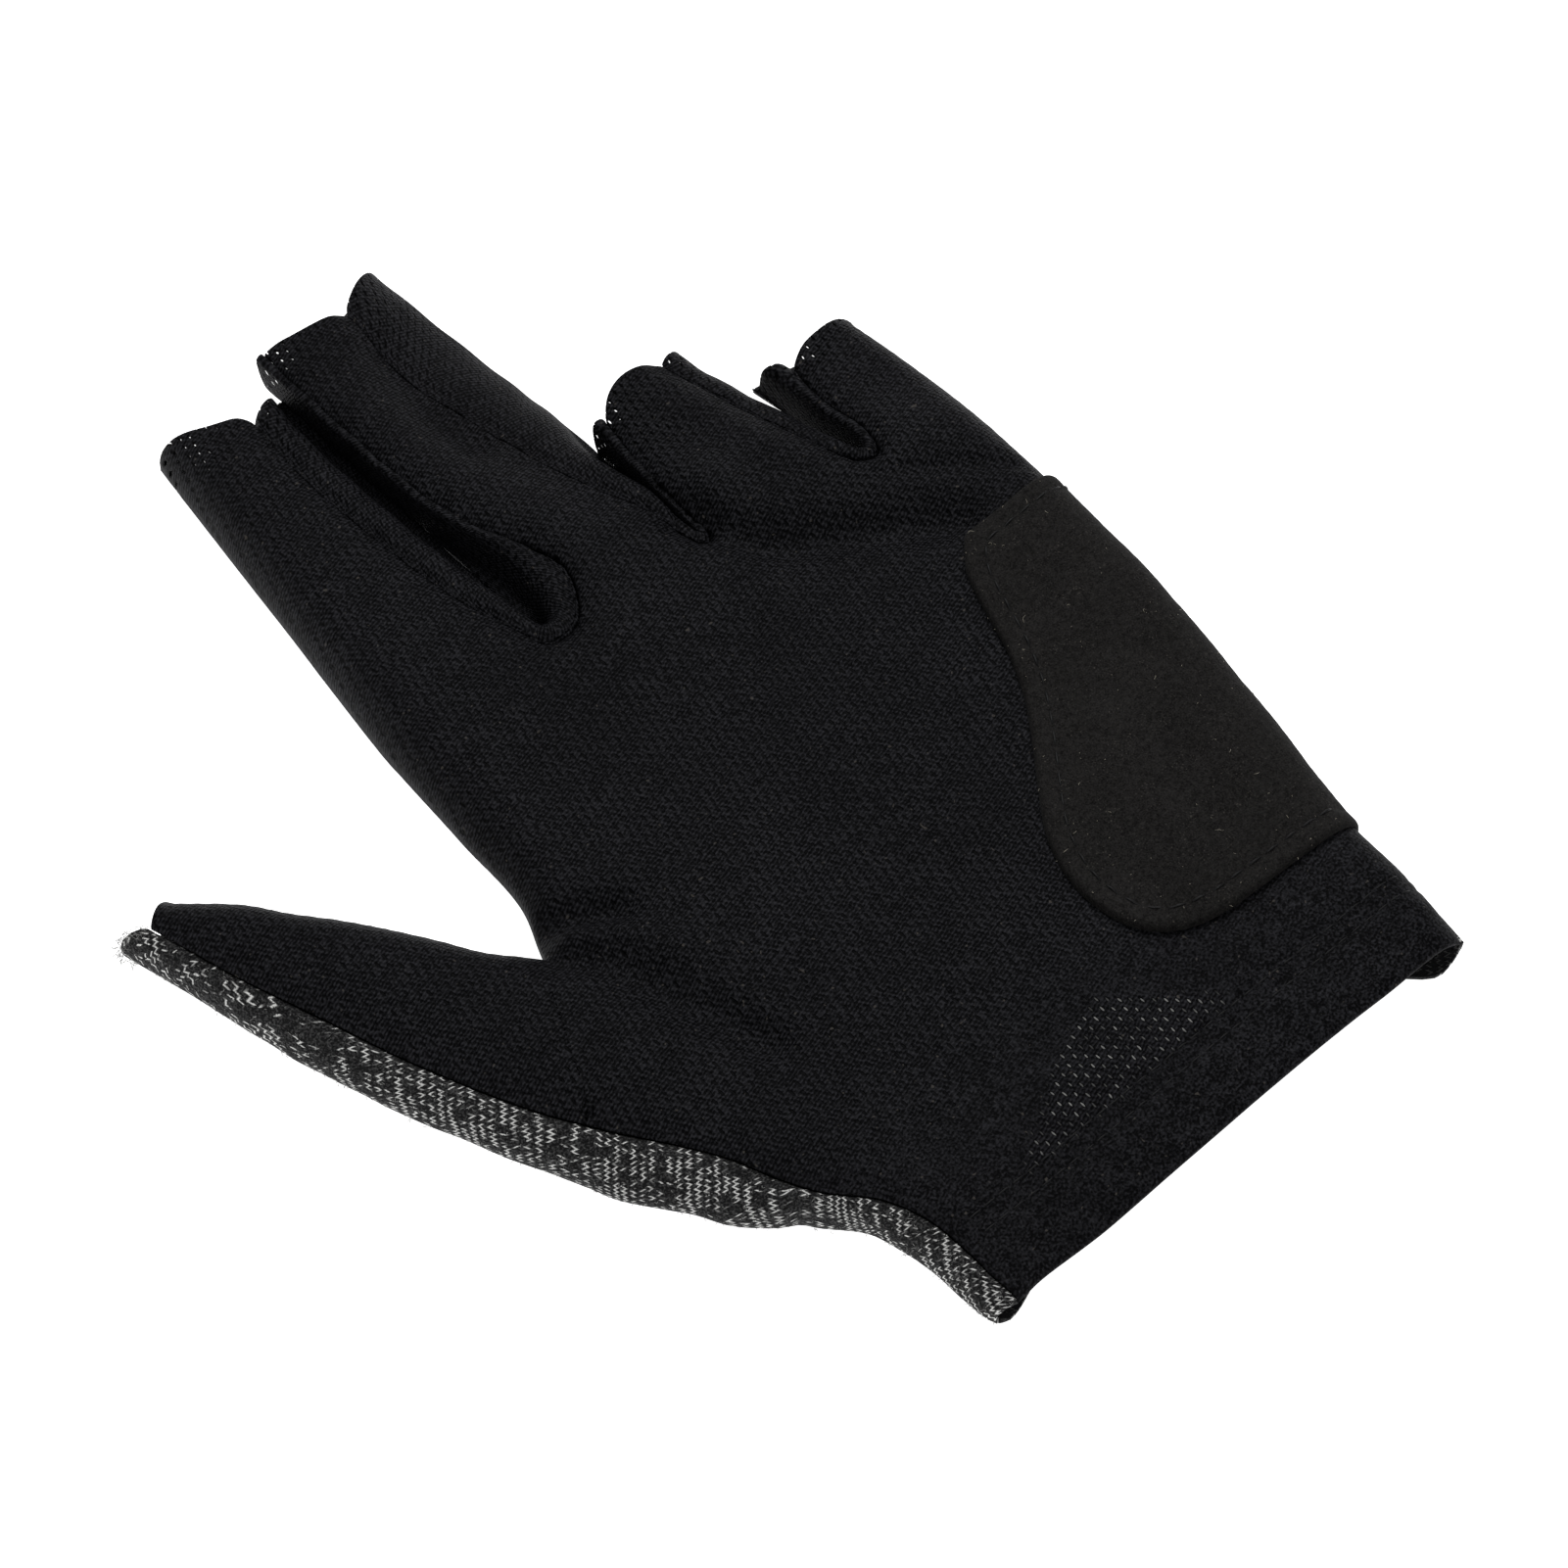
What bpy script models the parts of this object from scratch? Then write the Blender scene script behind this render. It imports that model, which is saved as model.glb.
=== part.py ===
"""A billiard glove for the left hand, lying flat with its palm up.

Two cloth sheets, the palm panel above and the back panel below, are each one grid over the hand: rows of the
palm from cuff to finger roots, then a strip for each finger and one for the thumb. Side strips (fourchettes)
join them between the fingers, and a soft pad lies on the heel of the palm. X runs toward the little finger's
side, Y from the cuff to the fingertips, Z up out of the palm. Lengths are in metres.
"""

import bpy
import numpy as np

# Driving sizes
BREADTH = 0.100  # over the knuckles
LENGTH = 0.172  # cuff edge to the tip of the middle finger
LOFT = 0.0082  # floor to the top of the palm
WALL = 0.0010  # cloth as modelled
PAD_WALL = 0.0012
SEAM_GAP = 0.00035
HEM_WIDTH = 0.0100
HEM_WALL = 0.0014
HEM_STEP = 0.0007
HEM_FADE = 0.0050
EDGE_ROUND = 0.0055  # how far in from a side seam the cloth is still rising
SEAM_ROUND = 0.0040  # the same beside a side strip
ROLL_ROUND = 0.0060  # the same beside the back panel's turned-up roll
FLOOR_ROUND = 0.0040
STRIP_BULGE = 0.0004

# Heights of the palm panel's seams, as shares of its height further in
SIDE_SHARE = 0.38
STRIP_SHARE = 0.80
ROLL_SHARE = 0.85

# Cells along and across
ROWS_TO_ROOT = 9
ROWS_TO_BASE = 7
THUMB_CELLS = 13
STRIP_CELLS = 3
PAD_ROWS = 22
PAD_COLUMNS = 6
ROOT_SHARES = (0.0, 0.25, 0.52, 0.76, 0.94, 1.0)  # rows from the thumb's root up to its crotch

# Outlines: share of LENGTH, share of BREADTH
PALM_RADIAL = (
    (0.001, -0.368), (0.025, -0.372), (0.053, -0.373), (0.083, -0.380), (0.118, -0.400), (0.150, -0.436),
    (0.184, -0.482), (0.227, -0.525), (0.264, -0.562), (0.288, -0.586),
)
BACK_RADIAL = (
    (0.003, -0.399), (0.029, -0.402), (0.052, -0.404), (0.085, -0.410), (0.115, -0.426), (0.141, -0.468),
    (0.170, -0.524), (0.217, -0.578), (0.262, -0.628),
)
INDEX_EDGE = ((0.426, -0.472), (0.465, -0.444), (0.547, -0.430), (0.622, -0.419))
ULNAR_EDGE = (
    (-0.010, 0.390), (0.044, 0.402), (0.102, 0.405), (0.153, 0.415), (0.219, 0.433), (0.313, 0.464),
    (0.360, 0.484), (0.395, 0.498), (0.433, 0.504), (0.479, 0.505), (0.541, 0.505),
)

# Each finger: columns across as shares of its width, cells along, rise of its tip in the middle as a share of
# LENGTH, then stations from its base: left y, left x, right y, right x (the thumb's left is its lower side)
FINGERS = {
    "index": {"across": (0.0, 0.05, 0.18, 0.45, 0.75, 1.0), "cells": 12, "tip": 0.016},
    "middle": {"across": (0.0, 0.2, 0.4, 0.6, 0.8, 1.0), "cells": 12, "tip": 0.012},
    "ring": {"across": (0.0, 0.2, 0.4, 0.6, 0.8, 1.0), "cells": 6, "tip": 0.014},
    "little": {"across": (0.0, 0.33, 0.65, 0.86, 0.95, 1.0), "cells": 5, "tip": 0.006},
}
CUFF_LAP = 0.006  # the palm panel reaches this share of LENGTH past the back panel at the cuff
ORIGIN_IN = 0.0125  # the origin is on the back panel, this far in from the cuff's edge
PALM_STATIONS = {
    "index": (
        (0.622, -0.419, 0.620, -0.172), (0.648, -0.415, 0.643, -0.182), (0.709, -0.400, 0.703, -0.210),
        (0.779, -0.382, 0.773, -0.222), (0.872, -0.360, 0.860, -0.229), (0.950, -0.341, 0.932, -0.220),
    ),
    "middle": (
        (0.619, -0.112, 0.617, 0.086), (0.651, -0.078, 0.640, 0.080), (0.683, -0.074, 0.680, 0.060),
        (0.744, -0.118, 0.750, 0.022), (0.814, -0.136, 0.820, 0.002), (0.890, -0.138, 0.884, -0.014),
        (0.972, -0.140, 0.966, -0.009),
    ),
    "ring": (
        (0.614, 0.112, 0.586, 0.310), (0.640, 0.107, 0.616, 0.296), (0.692, 0.108, 0.674, 0.274),
        (0.743, 0.124, 0.756, 0.239),
    ),
    "little": (
        (0.573, 0.356, 0.541, 0.505), (0.610, 0.362, 0.599, 0.503), (0.651, 0.358, 0.651, 0.497),
        (0.690, 0.374, 0.689, 0.486),
    ),
    "thumb": (
        (0.288, -0.586, 0.426, -0.472), (0.328, -0.627, 0.456, -0.517), (0.372, -0.662, 0.488, -0.549),
        (0.427, -0.700, 0.520, -0.584), (0.477, -0.729, 0.550, -0.620), (0.523, -0.756, 0.578, -0.658),
        (0.567, -0.781, 0.605, -0.697), (0.622, -0.809, 0.642, -0.765),
    ),
}
BACK_STATIONS = {
    "index": (
        (0.622, -0.419, 0.656, -0.149), (0.709, -0.400, 0.709, -0.151), (0.779, -0.382, 0.791, -0.152),
        (0.872, -0.360, 0.872, -0.149), (0.953, -0.340, 0.951, -0.146),
    ),
    "middle": (
        (0.656, -0.136, 0.640, 0.100), (0.709, -0.138, 0.709, 0.101), (0.791, -0.139, 0.791, 0.095),
        (0.872, -0.135, 0.872, 0.086), (0.972, -0.134, 1.000, 0.070),
    ),
    "ring": (
        (0.640, 0.112, 0.602, 0.344), (0.674, 0.113, 0.645, 0.332), (0.709, 0.115, 0.692, 0.316),
        (0.747, 0.119, 0.765, 0.294),
    ),
    "little": (
        (0.602, 0.356, 0.541, 0.505), (0.634, 0.352, 0.599, 0.503), (0.669, 0.344, 0.651, 0.497),
        (0.706, 0.335, 0.689, 0.486),
    ),
    "thumb": (
        (0.262, -0.628, 0.426, -0.472), (0.311, -0.666, 0.456, -0.517), (0.358, -0.699, 0.488, -0.549),
        (0.413, -0.737, 0.520, -0.584), (0.468, -0.770, 0.550, -0.620), (0.529, -0.797, 0.578, -0.658),
        (0.584, -0.819, 0.605, -0.697), (0.650, -0.850, 0.642, -0.765),
    ),
}

# The back panel's roll up the thumb's side: way out from the seam to the outline, share of the seam's height
ROLL = ((0.25, 0.0), (0.72, 0.02), (0.93, 0.16), (1.0, 0.38), (0.90, 0.66), (0.58, 0.88), (0.30, 0.97))

# Heights of the cloth above the floor as shares of LOFT: share of LENGTH, share of LOFT
CREST = ((0.0, 0.93), (0.06, 0.93), (0.16, 0.97), (0.35, 1.0), (0.55, 1.0), (0.64, 1.04), (0.80, 1.0), (1.0, 0.95))

# Folds: ends of a line as x and y shares, height share of LOFT (down is negative), half width share of BREADTH
FOLDS = (
    ("below_ring_and_little", ((0.091, 0.633), (0.150, 0.571), (0.231, 0.538), (0.359, 0.492)), -0.10, 0.040),
    ("base_of_ring_and_little", ((0.180, 0.640), (0.300, 0.600), (0.420, 0.560)), 0.16, 0.080),
    ("above_thumb_crotch", ((-0.453, 0.441), (-0.366, 0.411)), -0.14, 0.035),
    ("thumb_crotch_ridge", ((-0.440, 0.416), (-0.395, 0.395), (-0.360, 0.360)), 0.14, 0.030),
    ("below_thumb_crotch", ((-0.464, 0.409), (-0.430, 0.385), (-0.398, 0.327), (-0.360, 0.256)), -0.13, 0.040),
    ("thumb_muscle", ((-0.520, 0.330), (-0.640, 0.470), (-0.730, 0.580)), 0.16, 0.090),
    ("middle_tip_hollow", ((-0.010, 0.900), (-0.030, 0.850)), -0.12, 0.050),
)

# The pad's inner outline from its upper corner down: share of LENGTH, share of BREADTH
PAD_OUTLINE = (
    (0.474, 0.336), (0.462, 0.316), (0.445, 0.294), (0.413, 0.272), (0.377, 0.250), (0.343, 0.220),
    (0.310, 0.180), (0.280, 0.139), (0.252, 0.102), (0.231, 0.082), (0.204, 0.067), (0.177, 0.065),
    (0.149, 0.076), (0.130, 0.100), (0.117, 0.136), (0.110, 0.182),
)
PAD_ENDS = (0.476, 0.101)  # where its upper and lower edges reach the little finger's side, shares of LENGTH

COLOURS = {
    "mesh": (0.012, 0.012, 0.015, 1.0),
    "jersey": (0.085, 0.085, 0.085, 1.0),
    "suede": (0.020, 0.019, 0.017, 1.0),
}


def plan(x_share, y_share):
    return np.stack([np.asarray(x_share) * BREADTH, np.asarray(y_share) * LENGTH], axis=-1)


def along(table, shares):
    """Rows of a table at these shares of the way down it."""
    rows = np.array(table)
    at = np.asarray(shares) * (len(rows) - 1)
    return np.stack([np.interp(at, np.arange(len(rows)), column) for column in rows.T], axis=-1)


def rise(distance, radius):
    """0 at an edge, 1 from the radius on, round like a quarter circle."""
    return np.sqrt(1 - (1 - np.clip(distance / radius, 0, 1)) ** 2)


def distance_to(points, line):
    """How far each plan point is from a line of plan points."""
    a, b = line[:-1], line[1:]
    run = b - a
    way = points[:, None] - a
    share = np.clip((way * run).sum(-1) / (run**2).sum(-1), 0, 1)
    return np.linalg.norm(way - share[..., None] * run, axis=-1).min(axis=1)


def crest(points):
    """Height of the palm panel away from its edges, with its folds."""
    height = LOFT * np.interp(points[:, 1] / LENGTH, *np.array(CREST).T)
    for _name, ends, depth, width in FOLDS:
        line = plan(*np.array(ends).T)
        height += LOFT * depth * np.exp(-((distance_to(points, line) / (width * BREADTH)) ** 2))
    return height


class Sheet:
    """One panel's grid: plan positions, faces and named edges. Heights are set afterward."""

    def __init__(self, radial, stations, cuff, palm_pull=0.0, thumb_pull=0.0):
        self.at, self.faces, self.edges = [], [], {}
        left_palm = np.array(radial + INDEX_EDGE)
        hem = cuff + np.array((0.0, 0.5, 1.0)) * HEM_WIDTH / LENGTH
        root, crotch, base = radial[-1][0], INDEX_EDGE[0][0], INDEX_EDGE[-1][0]
        above = np.linspace(hem[-1] + HEM_STEP / LENGTH, root, ROWS_TO_ROOT)
        lefts = np.concatenate([
            hem,
            above,
            root + (crotch - root) * np.array(ROOT_SHARES[1:]),
            np.linspace(crotch, base, ROWS_TO_BASE + 1)[1:],
        ])
        self.root_row = len(hem) + len(above) - 1
        self.crotch_row = self.root_row + len(ROOT_SHARES) - 1
        share = lefts / base
        rights = lefts + ULNAR_EDGE[0][0] * (1 - share) + (ULNAR_EDGE[-1][0] - base) * share**2
        left = plan(np.interp(lefts, *left_palm.T), lefts)
        pulled = np.zeros((self.root_row + 1, 2)) + palm_pull
        left[: self.root_row + 1] += pulled
        left[self.root_row + 1 : self.crotch_row] += pulled[-1] * (1 - np.array(ROOT_SHARES[1:-1])[:, None])
        right = plan(np.interp(rights, *np.array(ULNAR_EDGE).T), rights)

        last, top_row = [], []
        for name, finger in FINGERS.items():
            first, palm_first = stations[name][0], PALM_STATIONS[name][0]
            across = np.array(finger["across"])[:, None]
            last.append(lerp(plan(first[1], first[0]), plan(first[3], first[2]), across))
            top_row.append(lerp(palm_first[1], palm_first[3], across[:, 0]))
        last, top_row = np.concatenate(last), np.concatenate(top_row)
        column = (top_row - top_row[0]) / (top_row[-1] - top_row[0])
        pull = last - lerp(left[-1], right[-1], column[:, None])
        rows = lerp(left[:, None], right[:, None], column[None, :, None])
        rows = rows + (share[:, None, None] ** 3) * pull
        self.palm = self.add(rows)
        self.join(self.palm)

        self.fingers, start = {}, 0
        for name, finger in FINGERS.items():
            width = len(finger["across"])
            base_row = self.palm[-1, start : start + width]
            start += width
            self.fingers[name] = self.strip(stations[name], finger["across"], finger["cells"], finger["tip"], base_row)
        base_row = self.palm[self.root_row : self.crotch_row + 1, 0]
        self.fingers["thumb"] = self.strip(stations["thumb"], ROOT_SHARES, THUMB_CELLS, 0.004, base_row, thumb_pull)
        self.at = np.array(self.at)

        index, middle, ring, little, thumb = (self.fingers[n] for n in (*FINGERS, "thumb"))
        self.edges["roll"] = [*self.palm[: self.root_row, 0], *thumb[:, 0]]
        self.edges["thumb_side"] = [*thumb[::-1, -1], *self.palm[self.crotch_row + 1 : -1, 0], *index[:, 0]]
        self.edges["little_side"] = [*self.palm[:-1, -1], *little[:, -1]]
        self.edges["index_middle"] = [*index[::-1, -1], *middle[:, 0]]
        self.edges["middle_ring"] = [*middle[::-1, -1], *ring[:, 0]]
        self.edges["ring_little"] = [*ring[::-1, -1], *little[:, 0]]

    def add(self, points):
        start = len(self.at)
        flat = points.reshape(-1, 2)
        self.at.extend(flat)
        return np.arange(start, start + len(flat)).reshape(points.shape[:-1])

    def join(self, grid):
        corners = grid[:-1, :-1], grid[:-1, 1:], grid[1:, 1:], grid[1:, :-1]
        self.faces.extend(np.stack([c.ravel() for c in corners], axis=1).tolist())

    def strip(self, stations, across, cells, tip, base_row, pull=0.0):
        """A finger's rows from its base row of nodes to its tip, which curves forward in the middle.

        A pull moves the left side, and the rest less and less across to the right.
        """
        share = np.linspace(0, 1, cells + 1)[1:]
        y0, x0, y1, x1 = along(stations, share).T
        across = np.array(across)[None, :, None]
        rows = lerp(plan(x0, y0)[:, None], plan(x1, y1)[:, None], across)
        rows[..., 1] += LENGTH * tip * share[:, None] ** 4 * (1 - (2 * across[..., 0] - 1) ** 2)
        rows += (np.zeros((cells, 2)) + pull)[:, None] * (1 - across)
        grid = np.concatenate([base_row[None], self.add(rows)])
        self.join(grid)
        return grid

    def line(self, name):
        return self.at[self.edges[name]]


def lerp(a, b, share):
    return np.asarray(a) + (np.asarray(b) - np.asarray(a)) * share


def panel_height(points, palm):
    """Height of the palm panel's outside at plan points."""
    height = crest(points)
    for name, edge, radius in (
        ("roll", ROLL_SHARE, ROLL_ROUND),
        ("thumb_side", SIDE_SHARE, EDGE_ROUND),
        ("little_side", SIDE_SHARE, EDGE_ROUND),
        ("index_middle", STRIP_SHARE, SEAM_ROUND),
        ("middle_ring", STRIP_SHARE, SEAM_ROUND),
        ("ring_little", STRIP_SHARE, SEAM_ROUND),
    ):
        height *= edge + (1 - edge) * rise(distance_to(points, palm.line(name)), radius)
    return height


def wall(points, roll):
    """Cloth is double in the hem, and single beside the roll."""
    in_hem = points[:, 1] < HEM_WIDTH + HEM_STEP / 2
    fade = np.clip(distance_to(points[:, :2], roll) / HEM_FADE - 1, 0, 1)
    return WALL + in_hem * fade * (HEM_WALL - WALL)


def unit(vectors):
    return vectors / np.maximum(np.linalg.norm(vectors, axis=-1, keepdims=True), 1e-12)


def vertex_normals(points, faces):
    faces = np.array(faces)
    a, b, c, d = (points[faces[:, k]] for k in range(4))
    face = np.cross(c - a, d - b)
    total = np.zeros_like(points)
    for k in range(4):
        np.add.at(total, faces[:, k], face)
    return unit(total)


def rim_of(faces):
    """Directed border edges of a set of faces."""
    edges = {(f[k], f[(k + 1) % 4]) for f in faces for k in range(4)}
    return [(a, b) for a, b in edges if (b, a) not in edges]


def solid(name, outside, inside, faces, material):
    """A closed body between two copies of one grid, the first on the side its faces look to.

    Both copies are cut along the same diagonals, so a thin wall never crosses itself.
    """
    count = len(outside)
    rim = sorted(rim_of(faces))
    body = [[f[0], f[k], f[k + 1]] for f in faces for k in (1, 2)]
    body += [[v + count for v in reversed(f)] for f in body]
    body += [[b, a, a + count, b + count] for a, b in rim]
    mesh = bpy.data.meshes.new(name)
    points = np.concatenate([outside, inside]) - (0, ORIGIN_IN, 0)
    mesh.from_pydata(points.tolist(), [], body)
    mesh.materials.append(material)
    mesh.polygons.foreach_set("use_smooth", np.ones(len(body), dtype=bool))
    mesh.set_sharp_from_angle(angle=0.9)
    mesh.validate()
    obj = bpy.data.objects.new(name, mesh)
    bpy.context.scene.collection.objects.link(obj)
    return obj


def material(name, colour, roughness):
    made = bpy.data.materials.new(name)
    made.use_nodes = True
    shader = made.node_tree.nodes["Principled BSDF"]
    shader.inputs["Base Color"].default_value = colour
    shader.inputs["Roughness"].default_value = roughness
    made.diffuse_color = colour
    return made


def outward(line):
    """Mitred unit steps across a plan line, away from the cloth it borders."""
    run = unit(np.diff(line, axis=0))
    across = np.stack([-run[:, 1], run[:, 0]], axis=1)
    before = np.concatenate([across[:1], across])
    after = np.concatenate([across, across[-1:]])
    return (before + after) / np.maximum(1 + (before * after).sum(1), 0.5)[:, None]


def make_palm(cloth):
    palm = Sheet(PALM_RADIAL, PALM_STATIONS, -CUFF_LAP)
    outside = np.column_stack([palm.at, panel_height(palm.at, palm)])
    way = -vertex_normals(outside, palm.faces)
    for name in ("thumb_side", "little_side"):
        nodes = palm.edges[name]
        way[nodes, 2] = 0
        way[nodes] = unit(way[nodes])
    way[palm.edges["roll"]] = (0, 0, -1)
    inside = outside + way * wall(palm.at, palm.line("roll"))[:, None]
    solid("palm_panel", outside, inside, palm.faces, cloth)
    return palm, outside, inside


def make_back(palm, palm_outside, cloth):
    """The floor side, turned up at its edges, and rolled up round the thumb's side to the palm panel's seam."""
    seam = palm_outside[palm.edges["roll"]]
    rim = Sheet(BACK_RADIAL, BACK_STATIONS, CUFF_LAP).line("roll")
    pull = (seam[:, :2] - rim) * (1 - ROLL[0][0])
    back = Sheet(BACK_RADIAL, BACK_STATIONS, CUFF_LAP, pull[: palm.root_row + 1], pull[palm.root_row + 1 :])
    height = np.zeros(len(back.at))
    for name in ("thumb_side", "little_side"):
        line = back.line(name)
        top = SIDE_SHARE * crest(back.at) - SEAM_GAP
        height = np.maximum(height, top * (1 - rise(distance_to(back.at, line), FLOOR_ROUND)))
    outside = np.column_stack([back.at, height])
    points, faces, last = [*outside], [list(reversed(f)) for f in back.faces], list(back.edges["roll"])
    gap = unit(rim - seam[:, :2]) * SEAM_GAP
    for way_out, way_up in ROLL[1:] + ((0.0, 1.0),):
        row = np.column_stack([lerp(seam[:, :2], rim, way_out), seam[:, 2] * way_up])
        if way_out == 0:
            row[:, :2] += gap
        start = len(points)
        points.extend(row)
        now = list(range(start, start + len(row)))
        faces += [[b, a, c, d] for a, b, c, d in zip(last, last[1:], now, now[1:])]
        last = now
    outside = np.array(points)
    way = -vertex_normals(outside, faces)
    for name in ("thumb_side", "little_side"):
        nodes = back.edges[name]
        way[nodes, 2] = 0
        way[nodes] = unit(way[nodes])
    way[last] = (0, 0, -1)
    inside = outside + way * wall(outside, rim)[:, None]
    solid("back_panel", outside, inside, faces, cloth)
    return back, outside, inside


def make_strip(name, palm, palm_walls, back, back_walls, cloth):
    """A side strip: from the palm panel's edge down and out to just above the back panel's edge."""
    upper = (palm_walls[0][palm.edges[name]] + palm_walls[1][palm.edges[name]]) / 2
    lower = back_walls[1][back.edges[name]].copy()
    lower[:, :2] = back_walls[0][back.edges[name]][:, :2]
    out_top, out_low = outward(upper[:, :2]), outward(lower[:, :2])
    run = ((lower - upper)[:, :2] * unit(out_top)).sum(1)
    drop = upper[:, 2] - lower[:, 2]
    slope = np.arctan2(drop, run)[:, None]
    start = upper.copy()
    start[:, :2] += out_top * (SEAM_GAP + WALL / 2 * np.sin(slope))
    end = lower.copy()
    end[:, :2] -= out_low * (WALL / 2 * np.sin(slope))
    end[:, 2] += SEAM_GAP + WALL / 2 * np.abs(np.cos(slope[:, 0]))
    rows = []
    for share in np.linspace(0, 1, STRIP_CELLS + 1):
        row = lerp(start, end, share)
        row[:, :2] += unit(out_low) * STRIP_BULGE * np.sin(np.pi * share)
        rows.append(row)
    grid = np.arange(len(rows) * len(start)).reshape(len(rows), -1)
    corners = grid[:-1, :-1], grid[1:, :-1], grid[1:, 1:], grid[:-1, 1:]
    faces = np.stack([c.ravel() for c in corners], axis=1).tolist()
    middle = np.concatenate(rows)
    normal = vertex_normals(middle, faces) * WALL / 2
    solid("fourchette_" + name, middle + normal, middle - normal, faces, cloth)


def on_panel(points, outside, faces):
    """The palm panel's outside, as faceted, at plan points, and its normals there."""
    normals = vertex_normals(outside, faces)
    quads = np.array(faces)
    corners = np.concatenate([quads[:, [0, 1, 2]], quads[:, [0, 2, 3]]])
    a, b, c = (outside[corners[:, k], :2] for k in range(3))
    area = cross2(b - a, c - a)
    found, facing = [], []
    for point in points:
        w1 = cross2(point - a, c - a) / area
        w2 = cross2(b - a, point - a) / area
        weights = np.stack([1 - w1 - w2, w1, w2], axis=1)
        best = weights.min(axis=1).argmax()
        weight = np.clip(weights[best], 0, 1)
        weight = weight / weight.sum()
        found.append(weight @ outside[corners[best]])
        facing.append(weight @ normals[corners[best]])
    return np.array(found), unit(np.array(facing))


def cross2(a, b):
    return a[..., 0] * b[..., 1] - a[..., 1] * b[..., 0]


def make_pad(palm, outside, cloth):
    """The heel pad lies on the palm panel, from its curved inner outline to the little finger's side."""
    share = np.linspace(0, 1, PAD_ROWS + 1)
    inner = along(PAD_OUTLINE, share)
    ends = lerp(PAD_ENDS[0], PAD_ENDS[1], (PAD_OUTLINE[0][0] - inner[:, 0]) / (PAD_OUTLINE[0][0] - PAD_OUTLINE[-1][0]))
    columns = palm.palm[:, -4:]
    points = []
    for (y_in, x_in), y_out in zip(inner, ends):
        y_out = y_out * LENGTH
        edge = [np.interp(y_out, outside[col, 1], outside[col, 0]) for col in columns.T]
        start = plan(x_in, y_in)
        turn = np.array([edge[0], y_out])
        row = [lerp(start, turn, k / PAD_COLUMNS) for k in range(PAD_COLUMNS)]
        points += row + [np.array([x, y_out]) for x in edge]
    on, normal = on_panel(np.array(points), outside, palm.faces)
    grid = np.arange(len(points)).reshape(len(inner), -1)
    corners = grid[:-1, :-1], grid[1:, :-1], grid[1:, 1:], grid[:-1, 1:]
    faces = np.stack([c.ravel() for c in corners], axis=1).tolist()
    solid("heel_pad", on + normal * (SEAM_GAP + PAD_WALL), on + normal * SEAM_GAP, faces, cloth)


def main():
    for obj in list(bpy.data.objects):
        bpy.data.objects.remove(obj, do_unlink=True)
    mesh = material("black mesh cloth", COLOURS["mesh"], 0.85)
    jersey = material("grey heather jersey", COLOURS["jersey"], 0.9)
    suede = material("dark suede", COLOURS["suede"], 0.95)
    strips = material("black mesh side strips", COLOURS["mesh"], 0.85)
    palm, *palm_walls = make_palm(mesh)
    back, *back_walls = make_back(palm, palm_walls[0], jersey)
    for name in ("index_middle", "middle_ring", "ring_little"):
        make_strip(name, palm, palm_walls, back, back_walls, strips)
    make_pad(palm, palm_walls[0], suede)


main()
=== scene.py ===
"""A billiard glove for the left hand, lying flat with its palm up on a white sweep.

The cloths are grids over the hand, as in the CAD: rows of the palm from cuff to finger roots, then a strip
for each finger and one for the thumb, only finer and with smooth edges. X runs toward the little finger's side,
Y from the cuff to the fingertips, Z up out of the palm. Lengths are in metres.
"""

from functools import lru_cache

import bpy
import numpy as np
from bpy.props import FloatProperty, FloatVectorProperty, IntProperty, PointerProperty
from mathutils import Matrix, Vector


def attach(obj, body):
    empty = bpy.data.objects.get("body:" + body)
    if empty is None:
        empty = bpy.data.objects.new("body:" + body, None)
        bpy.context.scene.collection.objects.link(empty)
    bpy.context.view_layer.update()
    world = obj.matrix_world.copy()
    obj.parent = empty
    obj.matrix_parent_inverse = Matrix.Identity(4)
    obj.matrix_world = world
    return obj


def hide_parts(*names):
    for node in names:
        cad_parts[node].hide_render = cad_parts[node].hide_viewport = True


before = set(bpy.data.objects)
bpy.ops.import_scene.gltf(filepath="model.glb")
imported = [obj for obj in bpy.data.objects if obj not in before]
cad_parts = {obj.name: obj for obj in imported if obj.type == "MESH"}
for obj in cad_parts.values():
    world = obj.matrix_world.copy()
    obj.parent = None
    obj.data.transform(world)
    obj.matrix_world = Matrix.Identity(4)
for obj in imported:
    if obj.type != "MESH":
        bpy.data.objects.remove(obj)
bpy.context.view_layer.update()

bl_info = {
    "name": "Billiard glove",
    "version": (1, 0, 0),
    "blender": (4, 5, 0),
    "location": "View3D > Sidebar > Glove",
    "description": "Builds an open-fingered billiard glove: mesh palm, heather back, side strips, pad, threads",
    "category": "Add Mesh",
}

MM = 0.001

# Driving sizes, as in the CAD
BREADTH = 0.100
LENGTH = 0.172
LOFT = 0.0082
HEM_WIDTH = 0.0100
CUFF_LAP = 0.006
EDGE_ROUND = 0.0055
SEAM_ROUND = 0.0036
ROLL_ROUND = 0.0060
FLOOR_ROUND = 0.0042
ORIGIN_IN = 0.0125  # the origin is on the back cloth, this far in from the cuff's edge
STRIP_SHARE = 0.80
ROLL_SHARE = 0.85
HEM_ROWS = (0.0088, 0.0106)  # the hem's two sewn rows, from the cuff's edge
HEM_WALL = 1.3 * MM  # the hem's doubled cloth
STITCH_INSET = 2.75 * MM  # from the pad's edge to its stitches
PUCKER_STEP, PUCKER_DRIFT = 0.0024, 0.0131  # from one pucker of a seam to the next, and how fast that drifts

# Share of the palm's height at which its side seam runs: share of LENGTH, height
SIDE_SEAM = ((0.0, 0.38), (0.44, 0.40), (0.53, 0.33), (0.62, 0.20), (0.80, 0.10), (1.0, 0.08))

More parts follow.
